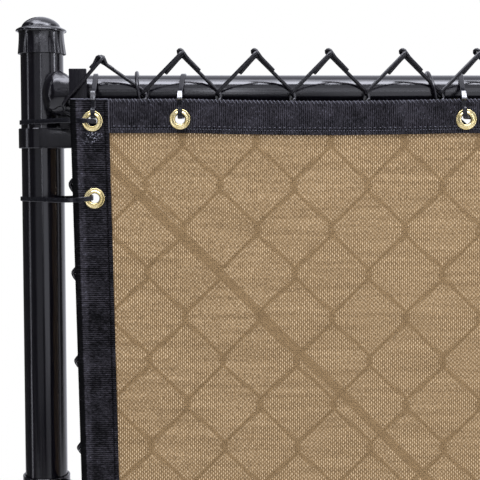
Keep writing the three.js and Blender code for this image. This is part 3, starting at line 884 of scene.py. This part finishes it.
# how a wire's end lies beside its leg: mm to the side at the knot, near it and at its cut, its length,
# and how far it reaches over its neighbour
hook = {
    "rising": (1.5, 1.5, 2.4, 23.0, 0.8), "falling": (3.0, 1.7, 1.3, 23.0, 3.0),
    "firstRising": (4.2, 2.6, 2.6, 11.5, 1.7), "firstFalling": (4.2, 0.4, 0.1, 14.0, 1.7),
    "depth": 3.8,
}


# the end of a wire, hooked over its neighbour's end and folded back along its own leg
def hookPoints(knot, leg, y, side, kind):
    atKnot, near, atCut, tail, over = hook[kind]
    tip = Vector((knot[0], y, knot[1]))
    along = (leg - tip).normalized()
    across = Vector((-along.z, 0, along.x)).normalized() * side
    into = Vector((0, hook["depth"] if y == netting["front"] else -hook["depth"], 0))
    steps = [  # along the leg, to its side and into the netting's depth
        (tail, atCut, 0.75), (mix(6, tail, 0.5), mix(near, atCut, 0.5), 0.8), (5.5, near, 0.85),
        (1.2 - over, atKnot, 0.85), (-0.9 - over, 0.55 * atKnot, 0.6), (-0.1 - over, -0.3, 0.1), (4, 0, 0),
    ]
    return [tip + along * run + across * aside + into * depth for run, aside, depth in steps]


# the wire that zigzags between columns k and k + 1
def wirePoints(k):
    lastRow = netting["rows"] - 1
    columns = [k if (k + row) % 2 else k + 1 for row in range(netting["rows"])]
    bends = []
    for row in range(1, lastRow):
        bends.append(bendPoints(*knotAt(columns[row], row), 1 if columns[row] == k + 1 else -1))
    hooks = []
    for row, way, leg in ((0, 1, bends[0][0]), (lastRow, -1, bends[-1][-1])):
        rising = (columns[row] == k + 1) == (way == 1)  # this leg rises to the right and lies in front
        kind = "rising" if rising else "falling"
        side = way
        if (columns[row], row) == (1, 0):
            kind = "first" + kind.title()
            side = -way if rising else way
        y = netting["front"] if rising else netting["back"]
        hooks.append(hookPoints(knotAt(columns[row], row), leg, y, side, kind)[::way])
    stops = [hooks[0]] + bends + [hooks[1]]
    path = list(stops[0])
    for before, after in zip(stops, stops[1:]):
        path += [before[-1].lerp(after[0], 0.14), before[-1].lerp(after[0], 0.86)]
        path += after
    return [Vector((p.x, p.y - forwardAt(p.x, p.z), p.z)) for p in curved(path, 2)]


shape = Shape()
for k in range(netting["columns"] - 1):
    shape.tube(wirePoints(k), netting["wire"], 10)
makePiece("chainLink", shape, wireSteel, ["chain_link"], sharp=50)

# short wires that tie the netting's valleys to the rail
railTie = {
    "columns": (2, 10, 18), "radius": 1.75,
    "path": [  # x from the valley, y and z
        (-9.6, -13.5, 957.6), (-9.8, -11.9, 966.6), (-9.6, -15.0, 981.1), (-9.3, -24.0, 988.5),
        (-8.9, -34.0, 989.6), (-8.4, -44.0, 985.0), (-7.2, -51.4, 978.6), (-5.8, -54.6, 971.1),
        (-4.6, -55.2, 964.6), (-2.8, -54.8, 959.2), (-0.4, -53.6, 957.8), (1.6, -52.4, 960.8),
        (2.5, -51.8, 966.0), (3.0, -51.2, 971.6), (2.3, -50.9, 974.8),
    ],
}
shape = Shape()
for column in railTie["columns"]:
    x, _ = knotAt(column, 1)
    shape.tube(curved([(x + a, b, c) for a, b, c in railTie["path"]], 3), railTie["radius"], 10)
makePiece("railTieWires", shape, wireSteel)
print("netting woven")


# the screen: a knitted cloth in a webbing border

screen = {
    "left": 36.8, "width": 725.8, "top": 963.2, "height": 912.5,
    "leftLean": math.radians(1.21), "rightLean": math.radians(0.75),
    "y": -67.1,
    "sag": 2.0, "bottomSag": 0.5, "farSpan": 262.2,
    "billow": 1.3, "flatness": 1.3, "waveDepth": 0.35, "waves": 2.3, "waveLean": 0.35,
}
grommet = {
    "radius": 9.5, "hole": 4.4, "crown": 3.75, "seat": 2.3, "cut": 5.4, "sides": 64,
    "topRun": [(20.3, 20.2), (100.7, 18.6), (362.9, 18.8), (625.1, 18.6), (705.5, 20.2)],  # across and down
    "sideDowns": [91.0, 452.0, screen["height"] - 91.0],
}


def slack(across):
    for (a, _), (b, _) in zip(grommet["topRun"], grommet["topRun"][1:]):
        if a <= across <= b:
            return math.sin(math.pi * (across - a) / (b - a)) * ((b - a) / screen["farSpan"]) ** 2
    return 0.0


# a place on the hung screen: mm from the left and top edge of the cut cloth, and mm to its front
def onScreen(across, down, out=0.0):
    part, fall = across / screen["width"], down / screen["height"]
    z = screen["top"] - down + screen["sag"] * slack(across) * (screen["bottomSag"] * fall - (1 - fall))
    left = screen["left"] + leaned(z, screen["leftLean"], screen["top"])
    right = screen["left"] + screen["width"] + leaned(z, screen["rightLean"], screen["top"])
    ripple = math.cos(2 * math.pi * (screen["waves"] * part + screen["waveLean"] * fall))
    depth = 1 - screen["waveDepth"] * (1 - ripple)
    fromEnds = max(0.0, math.sin(math.pi * fall)) ** screen["flatness"]
    forward = screen["billow"] * math.sin(math.pi * part) * fromEnds * depth
    return mix(left, right, part), screen["y"] - forward - out, z


grommetPlaces = {}
for i, (across, down) in enumerate(grommet["topRun"]):
    grommetPlaces[f"top_{i + 1}"] = (across, down)
    grommetPlaces[f"bottom_{i + 1}"] = (across, screen["height"] - down)
fromSide = grommet["topRun"][0][0]
for i, down in enumerate(grommet["sideDowns"]):
    grommetPlaces[f"left_{i + 1}"] = (fromSide, down)
    grommetPlaces[f"right_{i + 1}"] = (screen["width"] - fromSide, down)
grommetSpots = {name: onScreen(*spot) for name, spot in grommetPlaces.items()}


# the cloth lies inside the webbing's fold; its cells at a grommet are left out, under the webbing
cloth = {"inset": 1.55, "stepsAcross": 144, "stepsDown": 180, "clear": grommet["cut"] + 0.3}


def evenStops(length, steps):
    return [cloth["inset"] + (length - 2 * cloth["inset"]) * i / steps for i in range(steps + 1)]


def nearGrommet(left, right, top, bottom):
    clear = cloth["clear"]
    for across, down in grommetPlaces.values():
        if left - clear < across < right + clear and top - clear < down < bottom + clear:
            return True
    return False


acrosses = evenStops(screen["width"], cloth["stepsAcross"])
downs = evenStops(screen["height"], cloth["stepsDown"])
faces = []
for i in range(cloth["stepsDown"]):
    for j in range(cloth["stepsAcross"]):
        if not nearGrommet(acrosses[j], acrosses[j + 1], downs[i], downs[i + 1]):
            first = i * len(acrosses) + j
            faces.append([first, first + 1, first + 1 + len(acrosses), first + len(acrosses)])
shape = Shape()
shape.add([onScreen(a, d) for d in downs for a in acrosses], faces)
clothPiece = makePiece("knittedScreen", shape, clothLook, ["screen_cloth"], sharp=60)

border = {
    "sideWidth": 35.6, "topWidth": 31.2,
    "face": 1.75,  # mm from the cloth's middle to the webbing's face
    "inner": 0.75,
    "proud": 0.35,  # of the side strips, which lie over the top and bottom strips
    "ribDepth": 0.2,
    "lip": 3.9,  # from the sewn line to the webbing's edge
    "lipDrop": 0.3,
    "sewn": (0.45, 0.55),  # how deep the sewn line pulls it in, and how wide
    "ridge": (0.3, 6.2, 0.7),  # height, distance from the fold and width
    "groove": (0.25, 7.6, 0.6),
    "uneven": 0.12,
}
thread = {
    "radius": 0.34, "pitch": 3.1, "reach": 0.76,
    "stitch": ((0, -0.5), (0.13, 0.1), (0.5, 0.22), (0.87, 0.1), (1, -0.5)),  # share of its reach, and lift
    "loopEvery": 3.84, "loopRadius": 0.36,
    "loop": [  # from the fold, along and out: over the folded edge, leaning along the strip
        (2.9, 2.7, 1.7), (2.0, 2.1, 2.05), (1.0, 1.4, 1.85),
        (0.1, 0.8, 1.0), (-0.15, 0.5, 0.1), (0.1, 0.2, -0.8),
    ],
    "bead": 0.5, "sideEdge": 0.3,
}
foldLines = {
    "left": (postAxis.x + screen["left"] * mm, math.tan(screen["leftLean"]), 1),
    "right": (postAxis.x + (screen["left"] + screen["width"]) * mm, math.tan(screen["rightLean"]), -1),
}


# the left strip is rubbed pale just below its top grommet, with painted glints there
def sideWebbing(side):
    start, lean, inward = foldLines[side]

    def fromFold(x, z):
        return (x - start - (screen["top"] * mm - z) * lean) * inward
    across, down = (a + b for a, b in zip(grommet["topRun"][0], webbing["rubbedAt"]))
    rubbed = atFence(onScreen(across, down, border["face"])) if side == "left" else None
    return wovenWebbing(f"webbing {side}", 2, edge=fromFold, rubbed=rubbed)


def bump(distance, height, middle, width):
    return height * math.exp(-((distance - middle) / width) ** 2)


# height of the webbing's face at a distance from its fold
def faceHeight(d, width, side):
    fromEdge = width - d
    pull, wide = border["sewn"]
    h = border["face"] - bump(fromEdge, pull, border["lip"], wide)
    if fromEdge < border["lip"]:
        h -= border["lipDrop"]
    if side:
        h += bump(d, *border["ridge"]) - bump(d, *border["groove"])
    return h + border["uneven"] * noise.noise((d * 0.12, width, 3.1))


# a folded strip: at(d, along, out) is a place at a distance from the fold, along the strip and to the front
def foldedStrip(width, length, at, side):
    proud = border["proud"] if side else 0.0
    fronts = [width - d for d in (0.15, 1.2, 2.6, 3.5, 3.9, 4.4, 6)] + [width * 0.62, width * 0.4]
    fronts += [8.6, 7.6, 6.9, 6.2, 5.4, 3.6, 1.6] if side else [8, 4, 1.6]
    fold = [(0.55, 0.82), (0.0, 0.4), (0.0, -0.4), (0.55, -0.82)]
    backs = [1.6, 8, width * 0.5] + [width - d for d in (4.4, 3.9, 3.4, 0.15)]
    ring = [(d, faceHeight(d, width, side) + proud, 1.0) for d in fronts]  # and how much it is ribbed
    ring += [(d, share * border["face"], 0.9) for d, share in fold]
    ring += [(d, -faceHeight(d, width, False), -1.0) for d in backs]
    inner = border["inner"]
    ring += [(width, -inner, 0), (1.4, -inner, 0), (1.4, inner, 0), (width, inner, 0)]
    steps = round(length / webbing["rib"] * 3)
    rings = []
    for i in range(steps + 1):
        along = length * i / steps
        rib = math.cos(2 * math.pi * along / webbing["rib"])
        line = []
        for d, out, ribbed in ring:
            sideways = lift = 0.0
            if ribbed:
                rough = noise.noise((along * 0.4, d * 0.25, width))
                wander = 0.14 * noise.noise((along * 0.04, d * 0.05, 7.7))
                lift = border["ribDepth"] * ribbed * (rib * (1 + 1.2 * rough) + 0.8 * rough) + wander * ribbed
                sideways = -0.13 * rib if d < 0.3 else 0.0
            line.append(at(d + sideways, along, out + lift))
        rings.append(line)
    return rings


# a row of stitches at a distance from the fold, as long as length and begun at start
def stitches(shape, at, length, d, out, pitch=thread["pitch"], reach=thread["reach"], start=0.0):
    for i in range(int(length / pitch)):
        first = (i + 0.5) * pitch
        path = [at(d, first + s * reach * pitch + start, out + lift) for s, lift in thread["stitch"]]
        shape.tube(path, thread["radius"], 6)


# small loops that bind the folded edge
def edgeLoops(shape, at, length):
    for i in range(int(length / thread["loopEvery"])):
        start = (i + 0.3) * thread["loopEvery"]
        wobble = noise.noise((start * 0.3, 0.5, 2.0))
        path = [at(d, start + a + wobble, out) for d, a, out in thread["loop"]]
        shape.tube(curved(path, 2), thread["loopRadius"], 6)


# the fused cut ends of a side strip, and its edge where it lies over the top and bottom strips
def fusedEnds(shape, at, width, length):
    out = border["face"]
    for along, inward in ((0.0, 0.3), (length, -0.3)):
        bead = []
        for i in range(25):
            wobble = 0.4 * noise.noise((i * 0.6, along, 1))
            bead.append(at(0.8 + (width - 1.2) * i / 24, along + inward + wobble, out + 0.4))
        shape.tube(bead, thread["bead"], 8)
    for start, stop in ((0.5, 31.0), (length - 31.0, length - 0.5)):
        path = [at(width - 0.2, mix(start, stop, i / 16), out + 0.25) for i in range(17)]
        shape.tube(path, thread["sideEdge"], 6)


def leftAt(d, along, out):
    return onScreen(d, along, out)


def rightAt(d, along, out):
    return onScreen(screen["width"] - d, along, out)


endStart = border["sideWidth"] + 0.2
endLength = screen["width"] - 2 * endStart


def topAt(d, along, out):
    return onScreen(endStart + along, d, out)


def bottomAt(d, along, out):
    return onScreen(endStart + along, screen["height"] - d, out)


def holesFor(*starts):
    return [spot for name, spot in grommetSpots.items() if name.startswith(starts)]


bindings = []
for name, at, corner in (("left", leftAt, 1), ("right", rightAt, 5)):
    width, length = border["sideWidth"], screen["height"]
    shape = Shape()
    shape.skin(foldedStrip(width, length, at, True))
    strip = makePiece(f"{name}Webbing", shape, sideWebbing(name), [f"binding_{name}"], sharp=70)
    punch(strip, holesFor(f"{name}_", f"top_{corner}", f"bottom_{corner}"), grommet["cut"])
    shape = Shape()
    stitches(shape, at, length, width - border["lip"], border["face"] + 0.15)
    seam = makePiece(f"{name}Seam", shape, darkThread, sharp=70)
    shape = Shape()
    fusedEnds(shape, at, width, length)
    bindings += [strip, seam, makePiece(f"{name}Stitching", shape, paleThreadWithPaintedHighlight, sharp=70)]
for name, at in (("top", topAt), ("bottom", bottomAt)):
    width, face = border["topWidth"], border["face"]
    sewn = width - border["lip"]
    shape = Shape()
    shape.skin(foldedStrip(width, endLength, at, False))
    strip = makePiece(f"{name}Webbing", shape, endWebbing, [f"binding_{name}"], sharp=70)
    punch(strip, holesFor(*(f"{name}_{i}" for i in (2, 3, 4))), grommet["cut"])
    shape = Shape()
    stitches(shape, at, endLength, sewn, face - 0.2, 2.7, 0.45)
    stitches(shape, at, endLength - 3, sewn - 2.6, face - 0.05, 4.6, 0.36, start=1.2)
    edgeLoops(shape, at, endLength)
    bindings += [strip, makePiece(f"{name}Stitching", shape, paleThreadWithPaintedHighlight, sharp=70)]
print("screen hung")


# grommets: the hole, the crown, a hollow ring and the rim, rolled down to the seat, and the same behind
def grommetProfile():
    r, hole, crown, seat = grommet["radius"], grommet["hole"], grommet["crown"], grommet["seat"]
    front = [
        (hole, 0), (hole, 1.4), (4.5, 2.2), (4.75, 2.8),
        (5.2, crown - 0.12), (5.8, crown), (6.4, crown - 0.06), (6.9, crown - 0.4),
        (7.4, crown - 0.95), (7.9, crown - 1.0), (8.5, crown - 0.5), (9.0, crown - 0.45),
        (r - 0.06, crown - 0.85), (r, seat + 0.1),
        (9.35, seat - 0.15), (8.4, seat - 0.1), (5.2, seat - 0.1), (5.2, 0.6),
    ]
    return front + [(radius, -height) for radius, height in reversed(front[1:])]


for name, (x, y, z) in grommetSpots.items():
    shape = Shape()
    shape.lathe(grommetProfile(), lambda a, b, h: (x + a, y - h, z + b), grommet["sides"], loop=True)
    makePiece(f"grommet_{name}_brass", shape, brassLook, [f"grommet_{name}"], sharp=60)

print("grommets set")


# cable ties

tie = {
    "width": 4.3, "thick": 1.2, "front": -71.7, "holeEnd": -65.6, "behind": -62.2,
    "edgeToTurn": 3.4, "levelTurn": 19.0,
    "head": (5.0, 4.0, 8.0), "gap": 0.35,
    "sideHead": math.radians(215),  # round the post from its right, so most of it is behind
}


# stops round a pipe, from the tangent of one outside place to the tangent of another, far enough out
# that the straight runs between them clear it
def roundPipe(centre, radius, start, stop, steps=8):
    clear = (radius + tie["gap"]) / math.cos(1.2 * math.pi / steps / 2) + tie["thick"] / 2

    def tangent(outside, side):
        a, b = outside[0] - centre[0], outside[1] - centre[1]
        return math.atan2(b, a) + side * math.acos(clear / math.hypot(a, b))
    first, last = tangent(start, -1), tangent(stop, 1)
    while last > first:
        last -= 2 * math.pi
    turns = [mix(first, last, i / steps) for i in range(steps + 1)]
    return [(centre[0] + clear * math.cos(t), centre[1] + clear * math.sin(t)) for t in turns]


# the head: a rounded box with the strap's slot on its face and the cut end of the strap
def headShape(centre, forward, up):
    wide, deep, tall = tie["head"]
    turn = Matrix((forward.cross(up), forward, up)).transposed()

    def put(p):
        return centre + turn @ Vector(p)
    shape = Shape()
    face, top = deep / 2, tall / 2
    shape.block((-wide / 2, -face, -top), (wide / 2, face, top), 0.7, 3, change=put)
    shape.block((-1.0, face - 0.4, -1.1), (1.0, face + 0.22, -0.4), 0.1, 2, change=put)
    shape.block((-2.1, face - 1.9, top - 0.4), (2.1, face - 0.8, top + 1.3), 0.25, 1, change=put)
    return shape


# front, over and behind are its shifts to the side in front, over the pipe and behind, pull is how far
# it is drawn up in the hole, and headLean is its head's lean in degrees
def uprightTie(spot, pipe, up, front, over, behind, pull, headLean):
    x, y, z = spot
    pipeY, pipeZ, radius = pipe
    edge = screen["top"] if up > 0 else screen["top"] - screen["height"]
    turnUp = tie["edgeToTurn"] + up * (edge - z)
    start, stop = (tie["front"], turnUp), (tie["behind"], pull)
    ring = roundPipe((pipeY, up * (pipeZ - z)), radius, start, stop)
    rim = grommet["radius"]
    stops = [  # depth, height and shift: out of the hole, over the grommet's rim and up to the pipe
        (tie["front"] - 0.3, pull, front * 0.5),
        (tie["front"] - 0.6, rim - 0.3, front * 0.6),
        (tie["front"] + 1.6, rim + 2.1, front * 0.7),
        (tie["front"] + 1.1, turnUp - 8, front * 0.85),
        (*start, front),
    ]
    for i, (a, b) in enumerate(ring):
        share = 4 * i / (len(ring) - 1)
        shift = mix(front, over, 0.5 + share / 2) if share < 1 else mix(over, behind, (share - 1) / 3)
        stops.append((a, b, shift))
    stops += [(*stop, behind), (tie["holeEnd"], pull, behind * 0.3)]
    shape = Shape()
    path = [(x + s, a, z + up * b) for a, b, s in eased(stops)]
    shape.strap(path, (1, 0, 0), tie["width"], tie["thick"])
    headY = tie["front"] - tie["head"][1] / 2 + tie["thick"]
    centre = Vector((x + front * 0.95, headY, z + up * (turnUp - 1.2)))
    lean = math.radians(headLean)
    forward = Vector((0, -math.cos(lean), up * math.sin(lean)))
    return shape, headShape(centre, forward, Vector((0, math.sin(lean), up * math.cos(lean))))


# short is how far before the grommet's middle it turns in; hole, atNetting and atPost are its shifts upwards
def levelTie(spot, side, short, hole, atNetting, atPost):
    postX, inward = ends[side]
    x, y, z = spot
    holeX = inward * (x - postX) - short
    barEdge = barMiddle + bar["width"] / 2 + inward * leaned(z, bar["lean"][side])
    front = (holeX - tie["levelTurn"], tie["front"])
    pastBar = (barEdge + tie["thick"], bar["back"] + tie["gap"])
    ring = roundPipe((0, 0), post["radius"], front, pastBar)
    stops = [(holeX, tie["front"], hole), (*front, atPost)] + [(a, b, atPost) for a, b in ring]
    stops += [(*pastBar, atNetting), (holeX, tie["behind"], atNetting), (holeX, tie["holeEnd"], hole)]
    shape = Shape()
    path = [(postX + inward * a, b, z + s) for a, b, s in eased(stops)]
    shape.strap(path, (0, 0, 1), tie["width"], tie["thick"])
    a, b = math.cos(tie["sideHead"]), -math.sin(tie["sideHead"])
    reach = post["radius"] + tie["gap"] + tie["head"][1] / 2
    centre = Vector((postX + inward * reach * a, reach * b, z + atPost))
    return shape, headShape(centre, Vector((inward * a, b, 0)), Vector((-inward * b, a, 0)))


def makeTie(name, strap, head):
    makePiece(f"tie_{name}_nylon", strap, nylonLook, [f"tie_{name}"])
    makePiece(f"tieHead_{name}", head, headLook)


topPipe = (rail["y"], rail["height"], rail["radius"])
footPipe = (tensionWire["y"], tensionWire["z"], tensionWire["radius"])
uprightTies = {  # by grommet: shifts in front, over and behind, pull and the head's lean
    "top_1": (1.2, -1.6, 1.5, 2.7, 14),
    "top_2": (0, 2.2, 1.4, 0.9, 33),
    "top_3": (-3.2, 3.3, 4.8, 0.9, 33),
    "top_4": (6.5, 4.6, 0, 1.8, 33),
    "top_5": (0, -1.2, -4.2, 2.7, 20),
    "bottom_2": (0, 0, 0, 2.7, 34),
    "bottom_3": (-1.2, -0.9, -0.6, 2.7, 34),
    "bottom_4": (0, 0.4, 0.8, -2, 34),
}
for held, how in uprightTies.items():
    edge, number = held.split("_")
    pipe, up = (topPipe, 1) if edge == "top" else (footPipe, -1)
    name = held if edge == "top" else f"bottom_{int(number) - 1}"  # bottom ties 1 to 3 hold grommets 2 to 4
    makeTie(name, *uprightTie(grommetSpots[held], pipe, up, *how))

straight = (2.1, 0, 0, 0)
levelTies = {  # from the top corner down: short, hole, atNetting and atPost
    "left": [(-3.0, -0.5, -3.7, 0.9), (2.1, 0, 0.6, -2.3), straight, straight, straight],
    "right": [(-2.9, -0.7, -2.2, -0.3), (2.1, 0.6, 6.4, 0.8), straight, straight, straight],
}
for side, rows in levelTies.items():
    corner = 1 if side == "left" else 5
    held = [f"top_{corner}", f"{side}_1", f"{side}_2", f"{side}_3", f"bottom_{corner}"]
    for i, how in enumerate(rows):
        makeTie(f"{side}_{i + 1}", *levelTie(grommetSpots[held[i]], side, *how))
print("ties fastened")


# floor, light and camera, in metres

ground = {
    "reach": 1.9,
    "colour": colour(226, 226, 224),
    "paler": colour(232, 232, 231),
    "clouds": 3.0,  # to a metre
    "rough": 0.9,
}
reach = ground["reach"]
floorMesh = bpy.data.meshes.new("floor")
floorMesh.from_pydata(
    [(-reach, -reach, 0), (reach, -reach, 0), (reach, reach, 0), (-reach, reach, 0)], [], [[0, 1, 2, 3]])
floor = addObject("floor", floorMesh)
floorLook, floorTree = newTree("pale floor")
clouds = cloud(floorTree, place(floorTree), ground["clouds"])
finished(floorTree, {
    "Base Color": mixColour(floorTree, clouds, ground["colour"], ground["paler"]),
    "Roughness": ground["rough"],
})
floorMesh.materials.append(floorLook)

light = {
    "ambient": 0.065,
    "backdrop": 1.0,
    "tint": (0.93, 0.945, 1.06),
}
# where each soft box stands, where it faces, its size and how bright its face is
softBoxes = {
    "overBack": {"at": (-0.1, 0.6, 2.5), "aim": (-0.1, 0, 0.97), "size": (2.8, 1.9), "glow": 1.0},
    "overMiddle": {"at": (-0.1, -0.13, 2.5), "aim": (-0.1, -0.05, 0.95), "size": (2.4, 0.4), "glow": 4.0},
    "aboveCorner": {"at": (-0.76, 0.15, 2.3), "aim": (-0.4, -0.05, 0.97), "size": (0.5, 0.6), "glow": 4.0},
    "overhead": {"at": (-0.1, -0.62, 2.5), "aim": (-0.1, -0.05, 0.95), "size": (2.4, 0.62), "glow": 12.5},
    "overFront": {"at": (-0.1, -1.7, 2.3), "aim": (-0.1, 0, 0.97), "size": (2.6, 1.2), "glow": 0.9},
    "frontRight": {"at": (1.1, -2.6, 1.3), "aim": (0.2, 0, 0.9), "size": (2.2, 2.6), "glow": 1.15},
    "frontLeft": {"at": (-1.2, -2.6, 1.3), "aim": (-0.4, 0, 0.9), "size": (1.6, 2.6), "glow": 0.34},
    "middleStrip": {"at": (-0.25, -2.5, 1.6), "aim": (-0.4, 0, 1.3), "size": (0.14, 1.7), "glow": 4.3},
    "leftStrip": {"at": (-2.0, -0.5, 1.1), "aim": (-0.4, 0, 0.9), "size": (0.2, 3.0), "glow": 2.6},
    "right": {"at": (2.2, -0.5, 1.2), "aim": (-0.4, 0, 1.0), "size": (1.9, 2.8), "glow": 0.9},
    "rightStrip": {"at": (1.6, -0.35, 1.2), "aim": (-0.4, 0, 1.0), "size": (0.15, 2.4), "glow": 10.0},
    "brow": {"at": (-0.1, -2.2, 1.55), "aim": (-0.1, 0, 0.95), "size": (2.4, 0.09), "glow": 3.0},
    "behind": {"at": (0.85, 2.1, 1.2), "aim": (0.4, 0, 0.8), "size": (3.6, 2.8), "glow": 1.15},
}

world = bpy.data.worlds.new("studio")
bpy.context.scene.world = world
world.use_nodes = True
sky = world.node_tree
sky.nodes.clear()
seen = addNode(sky, "LightPath", output="Is Camera Ray")
ambient = addNode(sky, "Background", None, {"Color": (1, 1, 1, 1), "Strength": light["ambient"]})
backdrop = addNode(sky, "Background", None, {"Color": (1, 1, 1, 1), "Strength": light["backdrop"]})
shown = addNode(sky, "MixShader", None, {0: seen, 1: ambient, 2: backdrop})
addNode(sky, "OutputWorld", None, {"Surface": shown})

for name, box in softBoxes.items():
    lamp = bpy.data.lights.new(name, "AREA")
    lamp.shape = "RECTANGLE"
    lamp.size, lamp.size_y = box["size"]
    lamp.energy = box["glow"] * math.pi * lamp.size * lamp.size_y
    lamp.color = light["tint"]
    stand = addObject(name, lamp)
    stand.location = box["at"]
    stand.rotation_euler = (Vector(box["aim"]) - Vector(box["at"])).to_track_quat("-Z", "Y").to_euler()
    stand.visible_camera = False

view = {
    "at": (192.84, -1100.0, 903.27),  # mm at the fence
    "down": 3.86,  # degrees below level
    "lens": 84.0,
    "sensor": 36.0,
    "clip": (0.05, 50),
}
camera = addObject("camera", bpy.data.cameras.new("camera"))
camera.data.lens = view["lens"]
camera.data.sensor_width = view["sensor"]
camera.data.clip_start, camera.data.clip_end = view["clip"]
camera.location = atFence(view["at"])
camera.rotation_euler = (math.radians(90 - view["down"]), 0, 0)
bpy.context.scene.camera = camera
bpy.context.scene.view_settings.view_transform = "Standard"
print("studio set")
